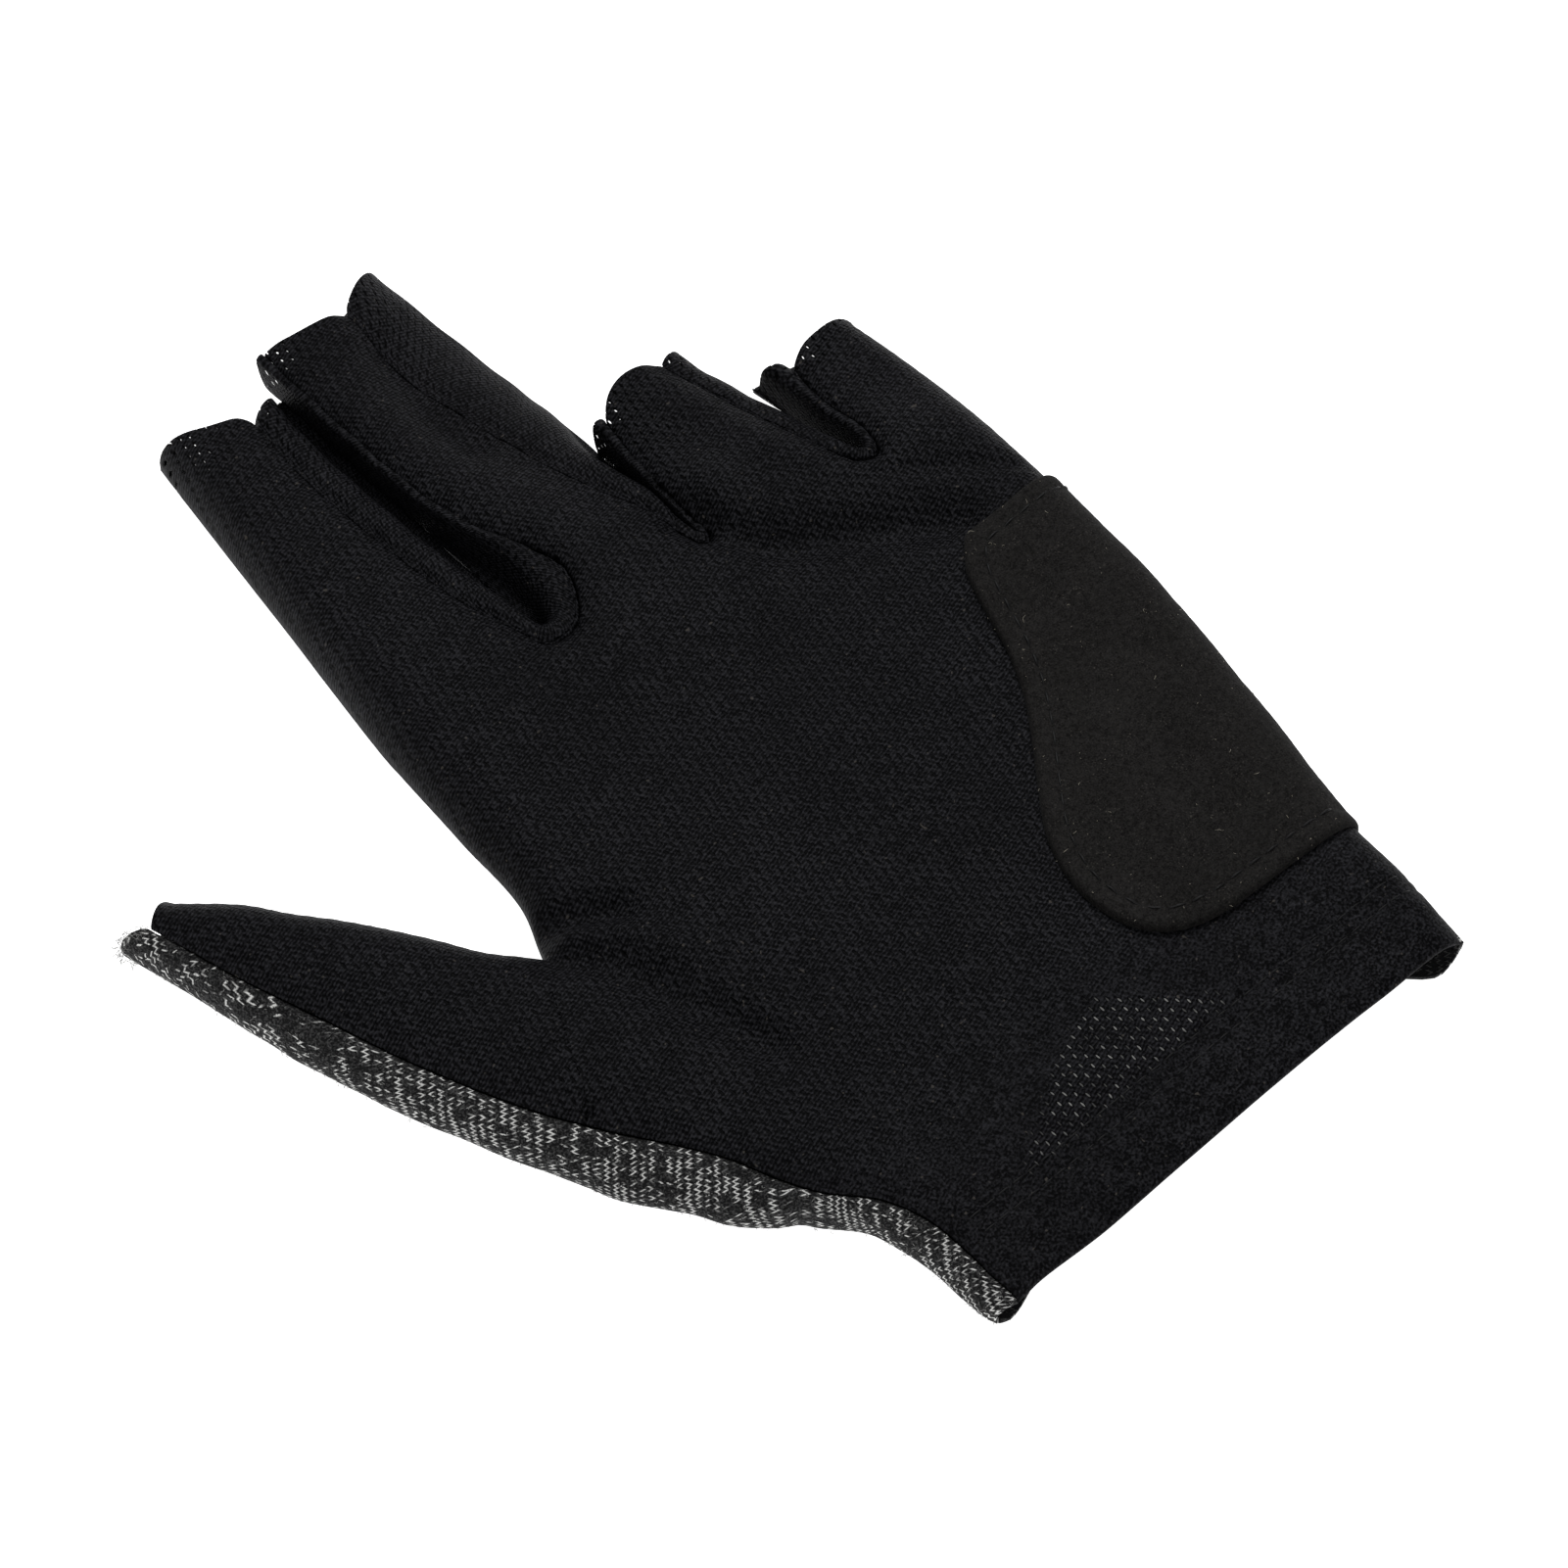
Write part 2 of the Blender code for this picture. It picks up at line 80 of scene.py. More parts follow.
# Outlines: share of LENGTH, share of BREADTH
PALM_RADIAL = (
    (0.001, -0.368), (0.025, -0.372), (0.053, -0.373), (0.083, -0.380), (0.118, -0.405), (0.148, -0.448),
    (0.177, -0.475), (0.210, -0.499), (0.239, -0.529), (0.266, -0.5605), (0.288, -0.586),
)
BACK_RADIAL = (
    (0.003, -0.403), (0.029, -0.406), (0.052, -0.409), (0.085, -0.415), (0.115, -0.430), (0.141, -0.468),
    (0.170, -0.524), (0.217, -0.578), (0.262, -0.628),
)
INDEX_EDGE = ((0.426, -0.472), (0.465, -0.444), (0.547, -0.430), (0.622, -0.419))
ULNAR_EDGE = (
    (-0.014, 0.388), (0.044, 0.402), (0.102, 0.407), (0.153, 0.421), (0.219, 0.445), (0.313, 0.474),
    (0.360, 0.487), (0.395, 0.493), (0.433, 0.499), (0.479, 0.506), (0.541, 0.511),
)

# Each finger: cells across and along, rise of its tip in the middle, then stations from its base as
# left y, left x, right y, right x (the thumb's left is its lower side)
FINGERS = {
    "index": {"across": 26, "cells": 62, "tip": -0.002, "corners": (0.2, 0.6)},
    "middle": {"across": 22, "cells": 62, "tip": 0.000, "corners": (0.35, 0.3)},
    "ring": {"across": 22, "cells": 28, "tip": 0.012, "corners": (0.5, 0.3)},
    "little": {"across": 18, "cells": 26, "tip": 0.003, "corners": (0.35, 0.25)},
}
THUMB = {"across": 28, "cells": 66, "tip": 0.001, "corners": (0.05, 0.3)}
CROTCH_CELLS = 6
HEM_CELLS = (0, 0.0004, 0.001, 0.002, 0.0035)  # rows by the cuff's edge, share of LENGTH past it
PALM_CELLS, EDGE_CELLS = 61, 39  # rows from there to the thumb's root, and from its crotch to the fingers
STRIP_ROWS = 25
PALM_STATIONS = {
    "index": (
        (0.622, -0.419, 0.620, -0.172), (0.648, -0.415, 0.643, -0.182), (0.709, -0.400, 0.703, -0.210),
        (0.779, -0.382, 0.773, -0.222), (0.872, -0.360, 0.860, -0.229), (0.972, -0.336, 0.936, -0.218),
    ),
    "middle": (
        (0.619, -0.112, 0.617, 0.086), (0.651, -0.078, 0.640, 0.080), (0.683, -0.074, 0.680, 0.060),
        (0.744, -0.118, 0.750, 0.022), (0.814, -0.136, 0.820, 0.002), (0.890, -0.138, 0.884, -0.014),
        (0.980, -0.139, 0.966, -0.009),
    ),
    "ring": (
        (0.614, 0.112, 0.586, 0.310), (0.640, 0.107, 0.616, 0.296), (0.692, 0.108, 0.674, 0.274),
        (0.750, 0.125, 0.758, 0.240),
    ),
    "little": (
        (0.573, 0.356, 0.541, 0.509), (0.610, 0.362, 0.599, 0.508), (0.651, 0.358, 0.651, 0.503),
        (0.689, 0.372, 0.694, 0.496),
    ),
    "thumb": (
        (0.288, -0.586, 0.426, -0.472), (0.328, -0.627, 0.456, -0.517), (0.372, -0.662, 0.488, -0.549),
        (0.427, -0.700, 0.520, -0.584), (0.477, -0.729, 0.550, -0.620), (0.523, -0.756, 0.578, -0.658),
        (0.570, -0.783, 0.608, -0.694), (0.630, -0.810, 0.648, -0.760),
    ),
}
BACK_STATIONS = {
    "index": (
        (0.622, -0.419, 0.656, -0.1455), (0.709, -0.400, 0.709, -0.1445), (0.779, -0.382, 0.791, -0.1440),
        (0.872, -0.360, 0.872, -0.1440), (0.940, -0.344, 0.958, -0.1425),
    ),
    "middle": (
        (0.656, -0.1415, 0.640, 0.102), (0.709, -0.1420, 0.709, 0.109), (0.791, -0.1410, 0.791, 0.104),
        (0.872, -0.1400, 0.872, 0.094), (0.968, -0.1385, 0.998, 0.082),
    ),
    "ring": (
        (0.640, 0.112, 0.602, 0.344), (0.674, 0.113, 0.645, 0.332), (0.709, 0.115, 0.692, 0.316),
        (0.746, 0.115, 0.761, 0.289),
    ),
    "little": (
        (0.602, 0.356, 0.541, 0.509), (0.634, 0.352, 0.599, 0.508), (0.669, 0.344, 0.651, 0.503),
        (0.712, 0.334, 0.692, 0.496),
    ),
    "thumb": (
        (0.262, -0.628, 0.426, -0.472), (0.311, -0.666, 0.456, -0.517), (0.358, -0.699, 0.488, -0.549),
        (0.413, -0.737, 0.520, -0.584), (0.468, -0.770, 0.550, -0.620), (0.529, -0.797, 0.578, -0.658),
        (0.584, -0.817, 0.608, -0.694), (0.641, -0.841, 0.648, -0.760),
    ),
}

# The back cloth's roll up the thumb's side: way out from the seam to the outline, share of the seam's height
ROLL = (
    (0.25, 0.0), (0.58, 0.0), (0.80, 0.05), (0.93, 0.15), (0.985, 0.27), (1.0, 0.40), (0.96, 0.56),
    (0.86, 0.71),
    (0.68, 0.84), (0.45, 0.93), (0.22, 0.975),
)

# A side strip's profile, share of the way out and share of the way down: rolled over as a pipe, or falling
# evenly
PIPED = (
    (0.0, 0.0), (0.06, 0.015), (0.15, -0.04), (0.27, -0.05), (0.38, 0.03), (0.47, 0.18), (0.53, 0.40),
    (0.58, 0.64),
    (0.65, 0.84), (0.78, 0.96), (1.0, 1.0),
)
EVEN = (
    (0.0, 0.0), (0.07, 0.03), (0.17, 0.02), (0.29, 0.06), (0.42, 0.13), (0.55, 0.24), (0.67, 0.38),
    (0.78, 0.54),
    (0.87, 0.71), (0.94, 0.87), (1.0, 1.0),
)

# Heights of the cloth above the floor: share of LENGTH, share of LOFT
CREST = (
    (0.0, 0.93), (0.06, 0.93), (0.16, 0.97), (0.35, 1.0), (0.55, 1.0), (0.64, 1.04), (0.80, 1.0), (1.0, 0.95),
)

# Folds: a line's points as x and y shares, height share of LOFT (down is negative), half width share of
# BREADTH
FOLDS = (
    ("below_ring_and_little", ((0.091, 0.633), (0.150, 0.571), (0.231, 0.538), (0.359, 0.492)), -0.30, 0.030),
    ("base_of_ring_and_little", ((0.180, 0.640), (0.300, 0.600), (0.420, 0.560)), 0.22, 0.075),
    ("little_crease", ((0.330, 0.560), (0.400, 0.530), (0.470, 0.500)), -0.10, 0.012),
    ("above_thumb_crotch", ((-0.453, 0.441), (-0.366, 0.411)), -0.30, 0.022),
    ("thumb_crotch_ridge", ((-0.440, 0.416), (-0.395, 0.395), (-0.360, 0.360)), 0.20, 0.024),
    ("below_crotch", ((-0.464, 0.409), (-0.430, 0.385), (-0.398, 0.327), (-0.360, 0.256)), -0.26, 0.026),
    ("thumb_muscle", ((-0.520, 0.330), (-0.640, 0.470), (-0.730, 0.580)), 0.16, 0.090),
    ("middle_tip_hollow", ((-0.010, 0.915), (-0.030, 0.850), (-0.020, 0.800)), -0.32, 0.036),
    ("middle_long_hollow", ((0.000, 0.760), (0.030, 0.690)), -0.16, 0.030),
    ("ring_hollow", ((0.180, 0.700), (0.215, 0.620)), -0.12, 0.030),
)

# The pad's inner outline from its upper corner down: share of LENGTH, share of BREADTH
PAD_OUTLINE = (
    (0.474, 0.336), (0.462, 0.316), (0.445, 0.294), (0.413, 0.272), (0.377, 0.250), (0.343, 0.220),
    (0.310, 0.180), (0.280, 0.139), (0.252, 0.102), (0.231, 0.082), (0.204, 0.067), (0.177, 0.065),
    (0.149, 0.076), (0.130, 0.100), (0.117, 0.136), (0.110, 0.182),
)
PAD_ENDS = (0.476, 0.101)

# Where the mesh is stretched open: x and y shares, reach in metres
STRETCHED = (
    (-0.315, 0.970, 0.0066), (-0.120, 0.974, 0.0034), (0.145, 0.748, 0.0052), (0.150, 0.715, 0.0040),
    (0.400, 0.686, 0.0034), (0.440, 0.700, 0.0030),
)

# Corners of the patch by the cuff where the mesh lies close on the light cloth below
LYING = ((-0.032, 0.124), (0.092, 0.064), (-0.084, 0.062), (-0.250, 0.062), (-0.120, 0.104))

# Direction of the cloth's rows on the plan: across the photo's view, and up it
ROW_WAY = np.array((0.731, -0.682))
COLUMN_WAY = np.array((0.682, 0.731))
GRAIN_SPAN = 0.4  # metres that the grain map's 0 to 1 covers

# Fuzz: fibres on the roll, and at each point of its cut end
ROLL_FIBRES, FRAYED_EACH = 900, 5

# The view: turn from +Y and tip down in degrees, distance, the point looked at, and metres to a pixel there
VIEW_TURN, VIEW_TIP, VIEW_DISTANCE = 43.0, 58.0, 0.560
VIEW_TARGET = (-0.0073, 0.0598, 0.0030)
VIEW_PIXEL = 0.125 * MM

# Soft boxes: name, place, power in watts, side in metres
LIGHTS = (
    ("overhead_box", (0.42, 0.58, 0.95), 8.8, 0.7),
    ("left_box", (-0.95, 0.25, 0.60), 0.5, 0.8),
    ("front_box", (-0.30, -0.60, 0.70), 2.0, 0.7),
)
LIGHT_AIM = (0, 0.08, 0)
WORLD_LIGHT = 0.12
FLOOR_HALF, FLOOR_BELOW = 3.0, 0.02 * MM
SENSOR, FRAME_PIXELS = 36.0, 1601


class GloveSizes(bpy.types.PropertyGroup):
    """Sizes that change how the cloths and threads look."""

    mesh_wall: FloatProperty(
        name="Mesh cloth", description="Thickness of the mesh cloth",
        default=0.55 * MM, unit="LENGTH", precision=5,
    )
    jersey_wall: FloatProperty(
        name="Jersey", description="Thickness of the heather jersey",
        default=0.75 * MM, unit="LENGTH", precision=5,
    )
    pad_wall: FloatProperty(
        name="Pad", description="Thickness of the heel pad", default=1.2 * MM, unit="LENGTH", precision=5
    )
    wrinkle: FloatProperty(
        name="Wrinkle", description="Height of the cloth's soft waves",
        default=0.16 * MM, unit="LENGTH", precision=5,
    )
    pucker: FloatProperty(
        name="Pucker", description="Depth of the seams' puckers",
        default=0.35 * MM, unit="LENGTH", precision=5,
    )
    eyelet_along: FloatProperty(
        name="Eyelets along", description="Step of the eyelets in a row",
        default=1.43 * MM, unit="LENGTH", precision=5,
    )
    eyelet_rows: FloatProperty(
        name="Eyelet rows", description="Step from one row of eyelets to the next", default=1.30 * MM,
        unit="LENGTH", precision=5,
    )
    wale: FloatProperty(
        name="Wale", description="Width of a column of jersey loops",
        default=1.27 * MM, unit="LENGTH", precision=5,
    )
    course: FloatProperty(
        name="Course", description="Height of a row of jersey loops",
        default=0.65 * MM, unit="LENGTH", precision=5,
    )
    stitch: FloatProperty(
        name="Stitch", description="Step of the sewn stitches", default=3.1 * MM, unit="LENGTH", precision=5
    )
    thread: FloatProperty(
        name="Thread", description="Thickness of the sewing thread",
        default=0.36 * MM, unit="LENGTH", precision=5,
    )
    fibres: IntProperty(
        name="Fibres", description="Light fibres caught on the pad", default=120, min=0, max=600
    )


class GloveColours(bpy.types.PropertyGroup):
    """Colours of the cloths."""

    mesh: FloatVectorProperty(
        name="Mesh", description="Lit yarn of the black mesh",
        default=(0.0129, 0.0129, 0.0148), subtype="COLOR",
    )
    slit: FloatVectorProperty(
        name="Slit", description="Shade in the eyelets of the mesh",
        default=(0.0012, 0.0012, 0.0015), subtype="COLOR",
    )
    jersey_light: FloatVectorProperty(
        name="Light heather", description="Light yarn of the jersey",
        default=(0.93, 0.93, 0.91), subtype="COLOR",
    )
    jersey_dark: FloatVectorProperty(
        name="Dark heather", description="Dark yarn of the jersey",
        default=(0.0085, 0.0085, 0.009), subtype="COLOR",
    )
    suede: FloatVectorProperty(
        name="Suede", description="Brushed face of the pad",
        default=(0.0150, 0.0143, 0.0138), subtype="COLOR",
    )
    thread: FloatVectorProperty(
        name="Thread", description="Sewing thread", default=(0.0050, 0.0050, 0.0055), subtype="COLOR"
    )
    sweep: FloatVectorProperty(
        name="Sweep", description="White sweep below the glove", default=(0.95, 0.95, 0.95), subtype="COLOR"
    )


def plan(x_share, y_share):
    """Shares to plan metres."""
    return np.stack([np.asarray(x_share) * BREADTH, np.asarray(y_share) * LENGTH], axis=-1)


def lerp(a, b, share):
    """A mean of a and b: a where the share is 0, b where it is 1."""
    return np.asarray(a) + (np.asarray(b) - np.asarray(a)) * share


def unit(vectors):
    """Vectors over their own lengths."""
    return vectors / np.maximum(np.linalg.norm(vectors, axis=-1, keepdims=True), 1e-12)


def smooth(at, xs, values):
    """Cubic through the points (xs, values): each span is a Hermite curve between its ends' mean slopes."""
    xs, values = np.asarray(xs, dtype=float), np.asarray(values, dtype=float)
    slopes = np.gradient(values, xs)
    at = np.clip(at, xs[0], xs[-1])
    k = np.clip(np.searchsorted(xs, at, side="right") - 1, 0, len(xs) - 2)
    run = xs[k + 1] - xs[k]
    t = (at - xs[k]) / run
    start = (1 + 2 * t) * (1 - t) ** 2 * values[k] + t * (1 - t) ** 2 * run * slopes[k]
    return start + t**2 * (3 - 2 * t) * values[k + 1] + t**2 * (t - 1) * run * slopes[k + 1]


def along(table, shares):
    """Smooth rows of a table at shares of the way down it."""
    rows = np.array(table)
    at = np.asarray(shares) * (len(rows) - 1)
    return np.stack([smooth(at, np.arange(len(rows)), column) for column in rows.T], axis=-1)


def crowded(cells):
    """Shares from 0 to 1 that crowd toward both ends: t less a sine wave."""
    t = np.linspace(0, 1, cells + 1)
    return t - 0.125 * np.sin(2 * np.pi * t)


def rise(distance, radius):
    """0 at an edge, 1 from the radius on, round like a quarter circle."""
    return np.sqrt(1 - (1 - np.clip(distance / radius, 0, 1)) ** 2)


def hump(distance, width):
    """A bell: 1 on a line, falling off over a width."""
    return np.exp(-((distance / width) ** 2))


def way_along(line):
    """Way along a line of points: the running sum of its spans."""
    return np.concatenate([[0], np.cumsum(np.linalg.norm(np.diff(line, axis=0), axis=1))])


def beat(way, share):
    """A seam's puckers: 1 at each, less twice the share between them. A slow sine drifts their rhythm."""
    phase = 2 * np.pi * way / PUCKER_STEP + 1.5 * np.sin(2 * np.pi * way / PUCKER_DRIFT)
    return 1 - share + share * np.cos(phase)


def step_up(value, low, high):
    """0 below low, 1 above high, an even S between them."""
    t = np.clip((value - low) / (high - low), 0, 1)
    return t * t * (3 - 2 * t)


def beside(points, line):
    """Each plan point's distance from a plan line, and its nearest place's way along that line."""
    a, b = line[:-1], line[1:]
    run = b - a
    length = np.linalg.norm(run, axis=1)
    way = points[:, None] - a
    share = np.clip((way * run).sum(-1) / length**2, 0, 1)
    gap = np.linalg.norm(way - share[..., None] * run, axis=-1)
    best = gap.argmin(axis=1)
    pick = np.arange(len(points))
    return gap[pick, best], np.concatenate([[0], np.cumsum(length)])[best] + share[pick, best] * length[best]


def waves(points, seed, count=14, longest=0.034, shortest=0.009):
    """A sum of sines of seeded directions, lengths and starts, about -1 to 1."""
    rng = np.random.default_rng(seed)
    turn = rng.uniform(0, 2 * np.pi, count)
    size = np.geomspace(longest, shortest, count)
    start = rng.uniform(0, 2 * np.pi, count)
    across = points[:, :1] * np.cos(turn) + points[:, 1:2] * np.sin(turn)
    weight = size / size.sum()
    return 2.2 * (np.sin(2 * np.pi * across / size + start) * weight).sum(axis=1)


class Panel:
    """One panel's fine grid: plan points, faces and named edges, as index arrays."""

    def __init__(self, radial, stations, cuff, corner, dip, palm_pull=None, thumb_pull=None):
        self.at, self.faces, self.edges = np.zeros((0, 2)), [], {}
        self.corner = corner
        left_palm = np.array(radial + INDEX_EDGE)
        root, crotch, base = radial[-1][0], INDEX_EDGE[0][0], INDEX_EDGE[-1][0]
        hem = cuff + np.array(HEM_CELLS)
        lefts = np.concatenate([
            hem,
            np.linspace(hem[-1], root, PALM_CELLS + 1)[1:],
            root + (crotch - root) * crowded(THUMB["across"])[1:],
            np.linspace(crotch, base, EDGE_CELLS + 1)[1:],
        ])
        self.root_row = len(hem) - 1 + PALM_CELLS
        self.crotch_row = self.root_row + THUMB["across"]
        share = np.clip(lefts / base, 0, 1)
        rights = lefts + ULNAR_EDGE[0][0] * (1 - share) + (ULNAR_EDGE[-1][0] - base) * share**2
        left = plan(smooth(lefts, *left_palm.T), lefts)
        if palm_pull is not None:
            left[: self.root_row + 1] += palm_pull
            eased = 1 - crowded(THUMB["across"])[1:-1, None]
            left[self.root_row + 1 : self.crotch_row] += palm_pull[-1] * eased
        right = plan(smooth(rights, *np.array(ULNAR_EDGE).T), rights)
        last, top_row = [], []
        for name, finger in FINGERS.items():
            first, palm_first = stations[name][0], PALM_STATIONS[name][0]
            across = crowded(finger["across"])
            last.append(lerp(plan(first[1], first[0]), plan(first[3], first[2]), across[:, None]))
            top_row.append(lerp(palm_first[1], palm_first[3], across))
        for k in (3, 2, 1):
            t = np.linspace(0, 1, CROTCH_CELLS + 1)[1:-1]
            between = lerp(last[k - 1][-1], last[k][0], t[:, None])
            last.insert(k, between - (0, 1) * (0.9 * MM * np.sin(np.pi * t))[:, None])
            top_row.insert(k, lerp(top_row[k - 1][-1], top_row[k][0], t))
        last, top_row = np.concatenate(last), np.concatenate(top_row)
        column = (top_row - top_row[0]) / (top_row[-1] - top_row[0])
        pull = last - lerp(left[-1], right[-1], column[:, None])
        rows = lerp(left[:, None], right[:, None], column[None, :, None])
        fade = np.clip(1 - (lefts - cuff) * LENGTH / 0.030, 0, 1) ** 2
        lift = np.stack([0 * column, dip(column)], axis=-1)
        self.palm = self.add(rows + (share[:, None, None] ** 3) * pull + fade[:, None, None] * lift)
        self.join(self.palm)
        self.fingers, start = {}, 0
        for name, finger in FINGERS.items():
            width = finger["across"] + 1
            self.fingers[name] = self.strip(stations[name], finger, self.palm[-1, start : start + width])
            start += width + CROTCH_CELLS - 1
        base_row = self.palm[self.root_row : self.crotch_row + 1, 0]
        self.fingers["thumb"] = self.strip(stations["thumb"], THUMB, base_row, thumb_pull)
        index, middle, ring, little, thumb = (self.fingers[n] for n in (*FINGERS, "thumb"))
        palm = self.palm
        self.edges = {
            "roll": np.concatenate([palm[: self.root_row, 0], thumb[:, 0]]),
            "thumb_side": np.concatenate([thumb[::-1, -1], palm[self.crotch_row + 1 : -1, 0], index[:, 0]]),
            "little_side": np.concatenate([palm[:-1, -1], little[:, -1]]),
            "index_middle": self.crotch(index, middle),
            "middle_ring": self.crotch(middle, ring),
            "ring_little": self.crotch(ring, little),
        }
        self.faces = np.concatenate(self.faces)

    def crotch(self, one, other):
        """The edge from one finger's tip down, round the crotch and up to the next one's tip. Each pass eases
        its corners: half of each point and a quarter of each neighbour."""
        between = np.arange(one[0, -1] + 1, other[0, 0])
        edge = np.concatenate([one[::-1, -1], between, other[:, 0]])
        line = self.at[edge]
        for _pass in range(12):
            line[1:-1] = (line[:-2] + 2 * line[1:-1] + line[2:]) / 4
        self.at[edge] = line
        return edge

    def add(self, points):
        """Take in a grid of plan points, and give their numbers."""
        start = len(self.at)
        self.at = np.concatenate([self.at, points.reshape(-1, 2)])
        return np.arange(start, len(self.at)).reshape(points.shape[:-1])

    def join(self, grid):
        """Take in a grid's faces."""
        self.faces.append(quads(grid))

    def strip(self, stations, finger, base_row, pull=None):
        """A finger's rows from its base to its tip: left and right sides by table, the tip bulging forward in
        the middle by a parabola and falling back at its two corners, as a cut end does when it curls."""
        share = np.linspace(0, 1, finger["cells"] + 1)[1:]
        y0, x0, y1, x1 = along(stations, share).T
        across = crowded(finger["across"])
        rows = lerp(plan(x0, y0)[:, None], plan(x1, y1)[:, None], across[None, :, None])
        width = np.linalg.norm(rows[-1, -1] - rows[-1, 0])
        bulge = finger["tip"] * LENGTH * (1 - (2 * across - 1) ** 2)
        left_fall, right_fall = finger["corners"]
        fall = left_fall * (1 - rise(across * width, 0.0032))
        fall = self.corner * (fall + right_fall * (1 - rise((1 - across) * width, 0.0032)))
        ahead = unit(rows[-1] - rows[-4])
        rows = rows + np.stack([0 * across, bulge], axis=-1) * share[:, None, None] ** 4
        rows = rows - ahead[None] * fall[None, :, None] * share[:, None, None] ** 14
        if pull is not None:
            rows = rows + pull[:, None] * (1 - across[None, :, None])
        grid = np.concatenate([base_row[None], self.add(rows)])
        self.join(grid)
        return grid

    def line(self, name):
        """A named edge's plan points."""
        return self.at[self.edges[name]]


def palm_dip(column):
    """The palm's cuff runs straight and drops only at the little finger's corner."""
    inner = step_up(column, 0.03, 0.20) * (1 - step_up(column, 0.80, 1.0))
    return 2.4 * MM * (column - column**5) + (0.2 - 0.7 * inner) * MM


def back_dip(column):
    """The back's cuff stays hidden under the palm's, but for the corner, where it peeps out."""
    hidden = 2.4 * column + 2.2 * step_up(column, 0.0, 0.12)
    return (hidden - 4.9 * step_up(column, 0.85, 0.95)) * MM


def quads(grid):
    """Faces of a grid of point numbers, turned so that rows going up and columns going right face up."""
    corners = grid[:-1, :-1], grid[:-1, 1:], grid[1:, 1:], grid[1:, :-1]
    return np.stack([c.ravel() for c in corners], axis=1)


def crest(points):
    """Height of the palm away from its edges: a smooth profile along it plus a bell over each fold's line."""
    height = LOFT * smooth(points[:, 1] / LENGTH, *np.array(CREST).T)
    for _name, ends, depth, width in FOLDS:
        shares = np.array(ends)
        line = plan(*along(shares, np.linspace(0, 1, 25)).T)
        height += LOFT * depth * hump(beside(points, line)[0], width * BREADTH)
    return height


def past_cuff(points, palm):
    """Each point's way up the hand from the palm's cuff line."""
    return points[:, 1] - np.interp(points[:, 0], *palm.at[palm.palm[0]].T)


def palm_height(points, palm, wrinkle, pucker):
    """Height of the palm cloth: its crest, times a quarter-circle rise from each edge, with a pucker at each
    stitch of a seam, soft waves, and two sewn grooves along the hem."""
    height = crest(points) + wrinkle * waves(points, 5)
    side = smooth(points[:, 1] / LENGTH, *np.array(SIDE_SEAM).T)
    for name, edge, radius, puckered in (
        ("roll", ROLL_SHARE, ROLL_ROUND, 1.0),
        ("thumb_side", side, EDGE_ROUND, 0.5),
        ("little_side", side, EDGE_ROUND, 0.3),
        ("index_middle", STRIP_SHARE, SEAM_ROUND, 0.8),
        ("middle_ring", STRIP_SHARE, SEAM_ROUND, 0.8),
        ("ring_little", STRIP_SHARE, SEAM_ROUND, 0.8),
    ):
        gap, way = beside(points, palm.line(name))
        height = height * (edge + (1 - edge) * rise(gap, radius))
        height -= puckered * pucker * beat(way, 0.4) * hump(gap - 0.0012, 0.0011)
    cuff = past_cuff(points, palm)
    height = height * (0.76 + 0.24 * step_up(cuff, 0.0, 0.016)) - 0.9 * MM * (1 - rise(cuff, 0.0016))
    rough = 0.6 + 0.4 * waves(points, 31, 10, 0.006, 0.0015)
    for row in HEM_ROWS:
        height -= 0.38 * MM * rough * hump(cuff - row, 0.5 * MM)
    return height + 0.30 * MM * hump(cuff - HEM_WIDTH / 2, HEM_WIDTH / 2.4)


def vertex_normals(points, faces):
    """Each point's mean of the crossed diagonals of its faces."""
    a, b, c, d = (points[faces[:, k]] for k in range(4))
    face = np.cross(c - a, d - b)
    total = np.zeros_like(points)
    for k in range(4):
        np.add.at(total, faces[:, k], face)
    return unit(total)


def outward(line):
    """Unit steps across a plan line, to its left."""
    run = unit(np.gradient(line, axis=0))
    return np.stack([-run[:, 1], run[:, 0]], axis=1)


@lru_cache
def palm_shape(wrinkle, pucker):
    """The palm cloth's outside: the panel at its height, its cut finger ends curling up a little."""
    panel = Panel(PALM_RADIAL, PALM_STATIONS, CUFF_LAP * -0.4, 0.0021, palm_dip)
    height = palm_height(panel.at, panel, wrinkle, pucker)
    for k, grid in enumerate(panel.fingers.values()):
        ends = panel.at[grid[-1]]
        gap, _way = beside(panel.at[grid].reshape(-1, 2), ends)
        across = np.tile(np.linspace(0, 1, grid.shape[1]), grid.shape[0])
        curl = 0.35 * np.sin(np.pi * across) + 0.65 * np.sin(3.4 * np.pi * across + 1.3 * k)
        rolled = 0.36 * MM if k < 4 else 0.10 * MM
        height[grid.ravel()] += rolled * curl * (1 - np.clip(gap / 0.0034, 0, 1)) ** 2
    return panel, np.column_stack([panel.at, height])


def grain_of(points):
    """Grain map of flat cloth: plan metres along and across its rows, over GRAIN_SPAN."""
    return np.stack([points[:, :2] @ ROW_WAY, points[:, :2] @ COLUMN_WAY], axis=1) / GRAIN_SPAN + 0.5


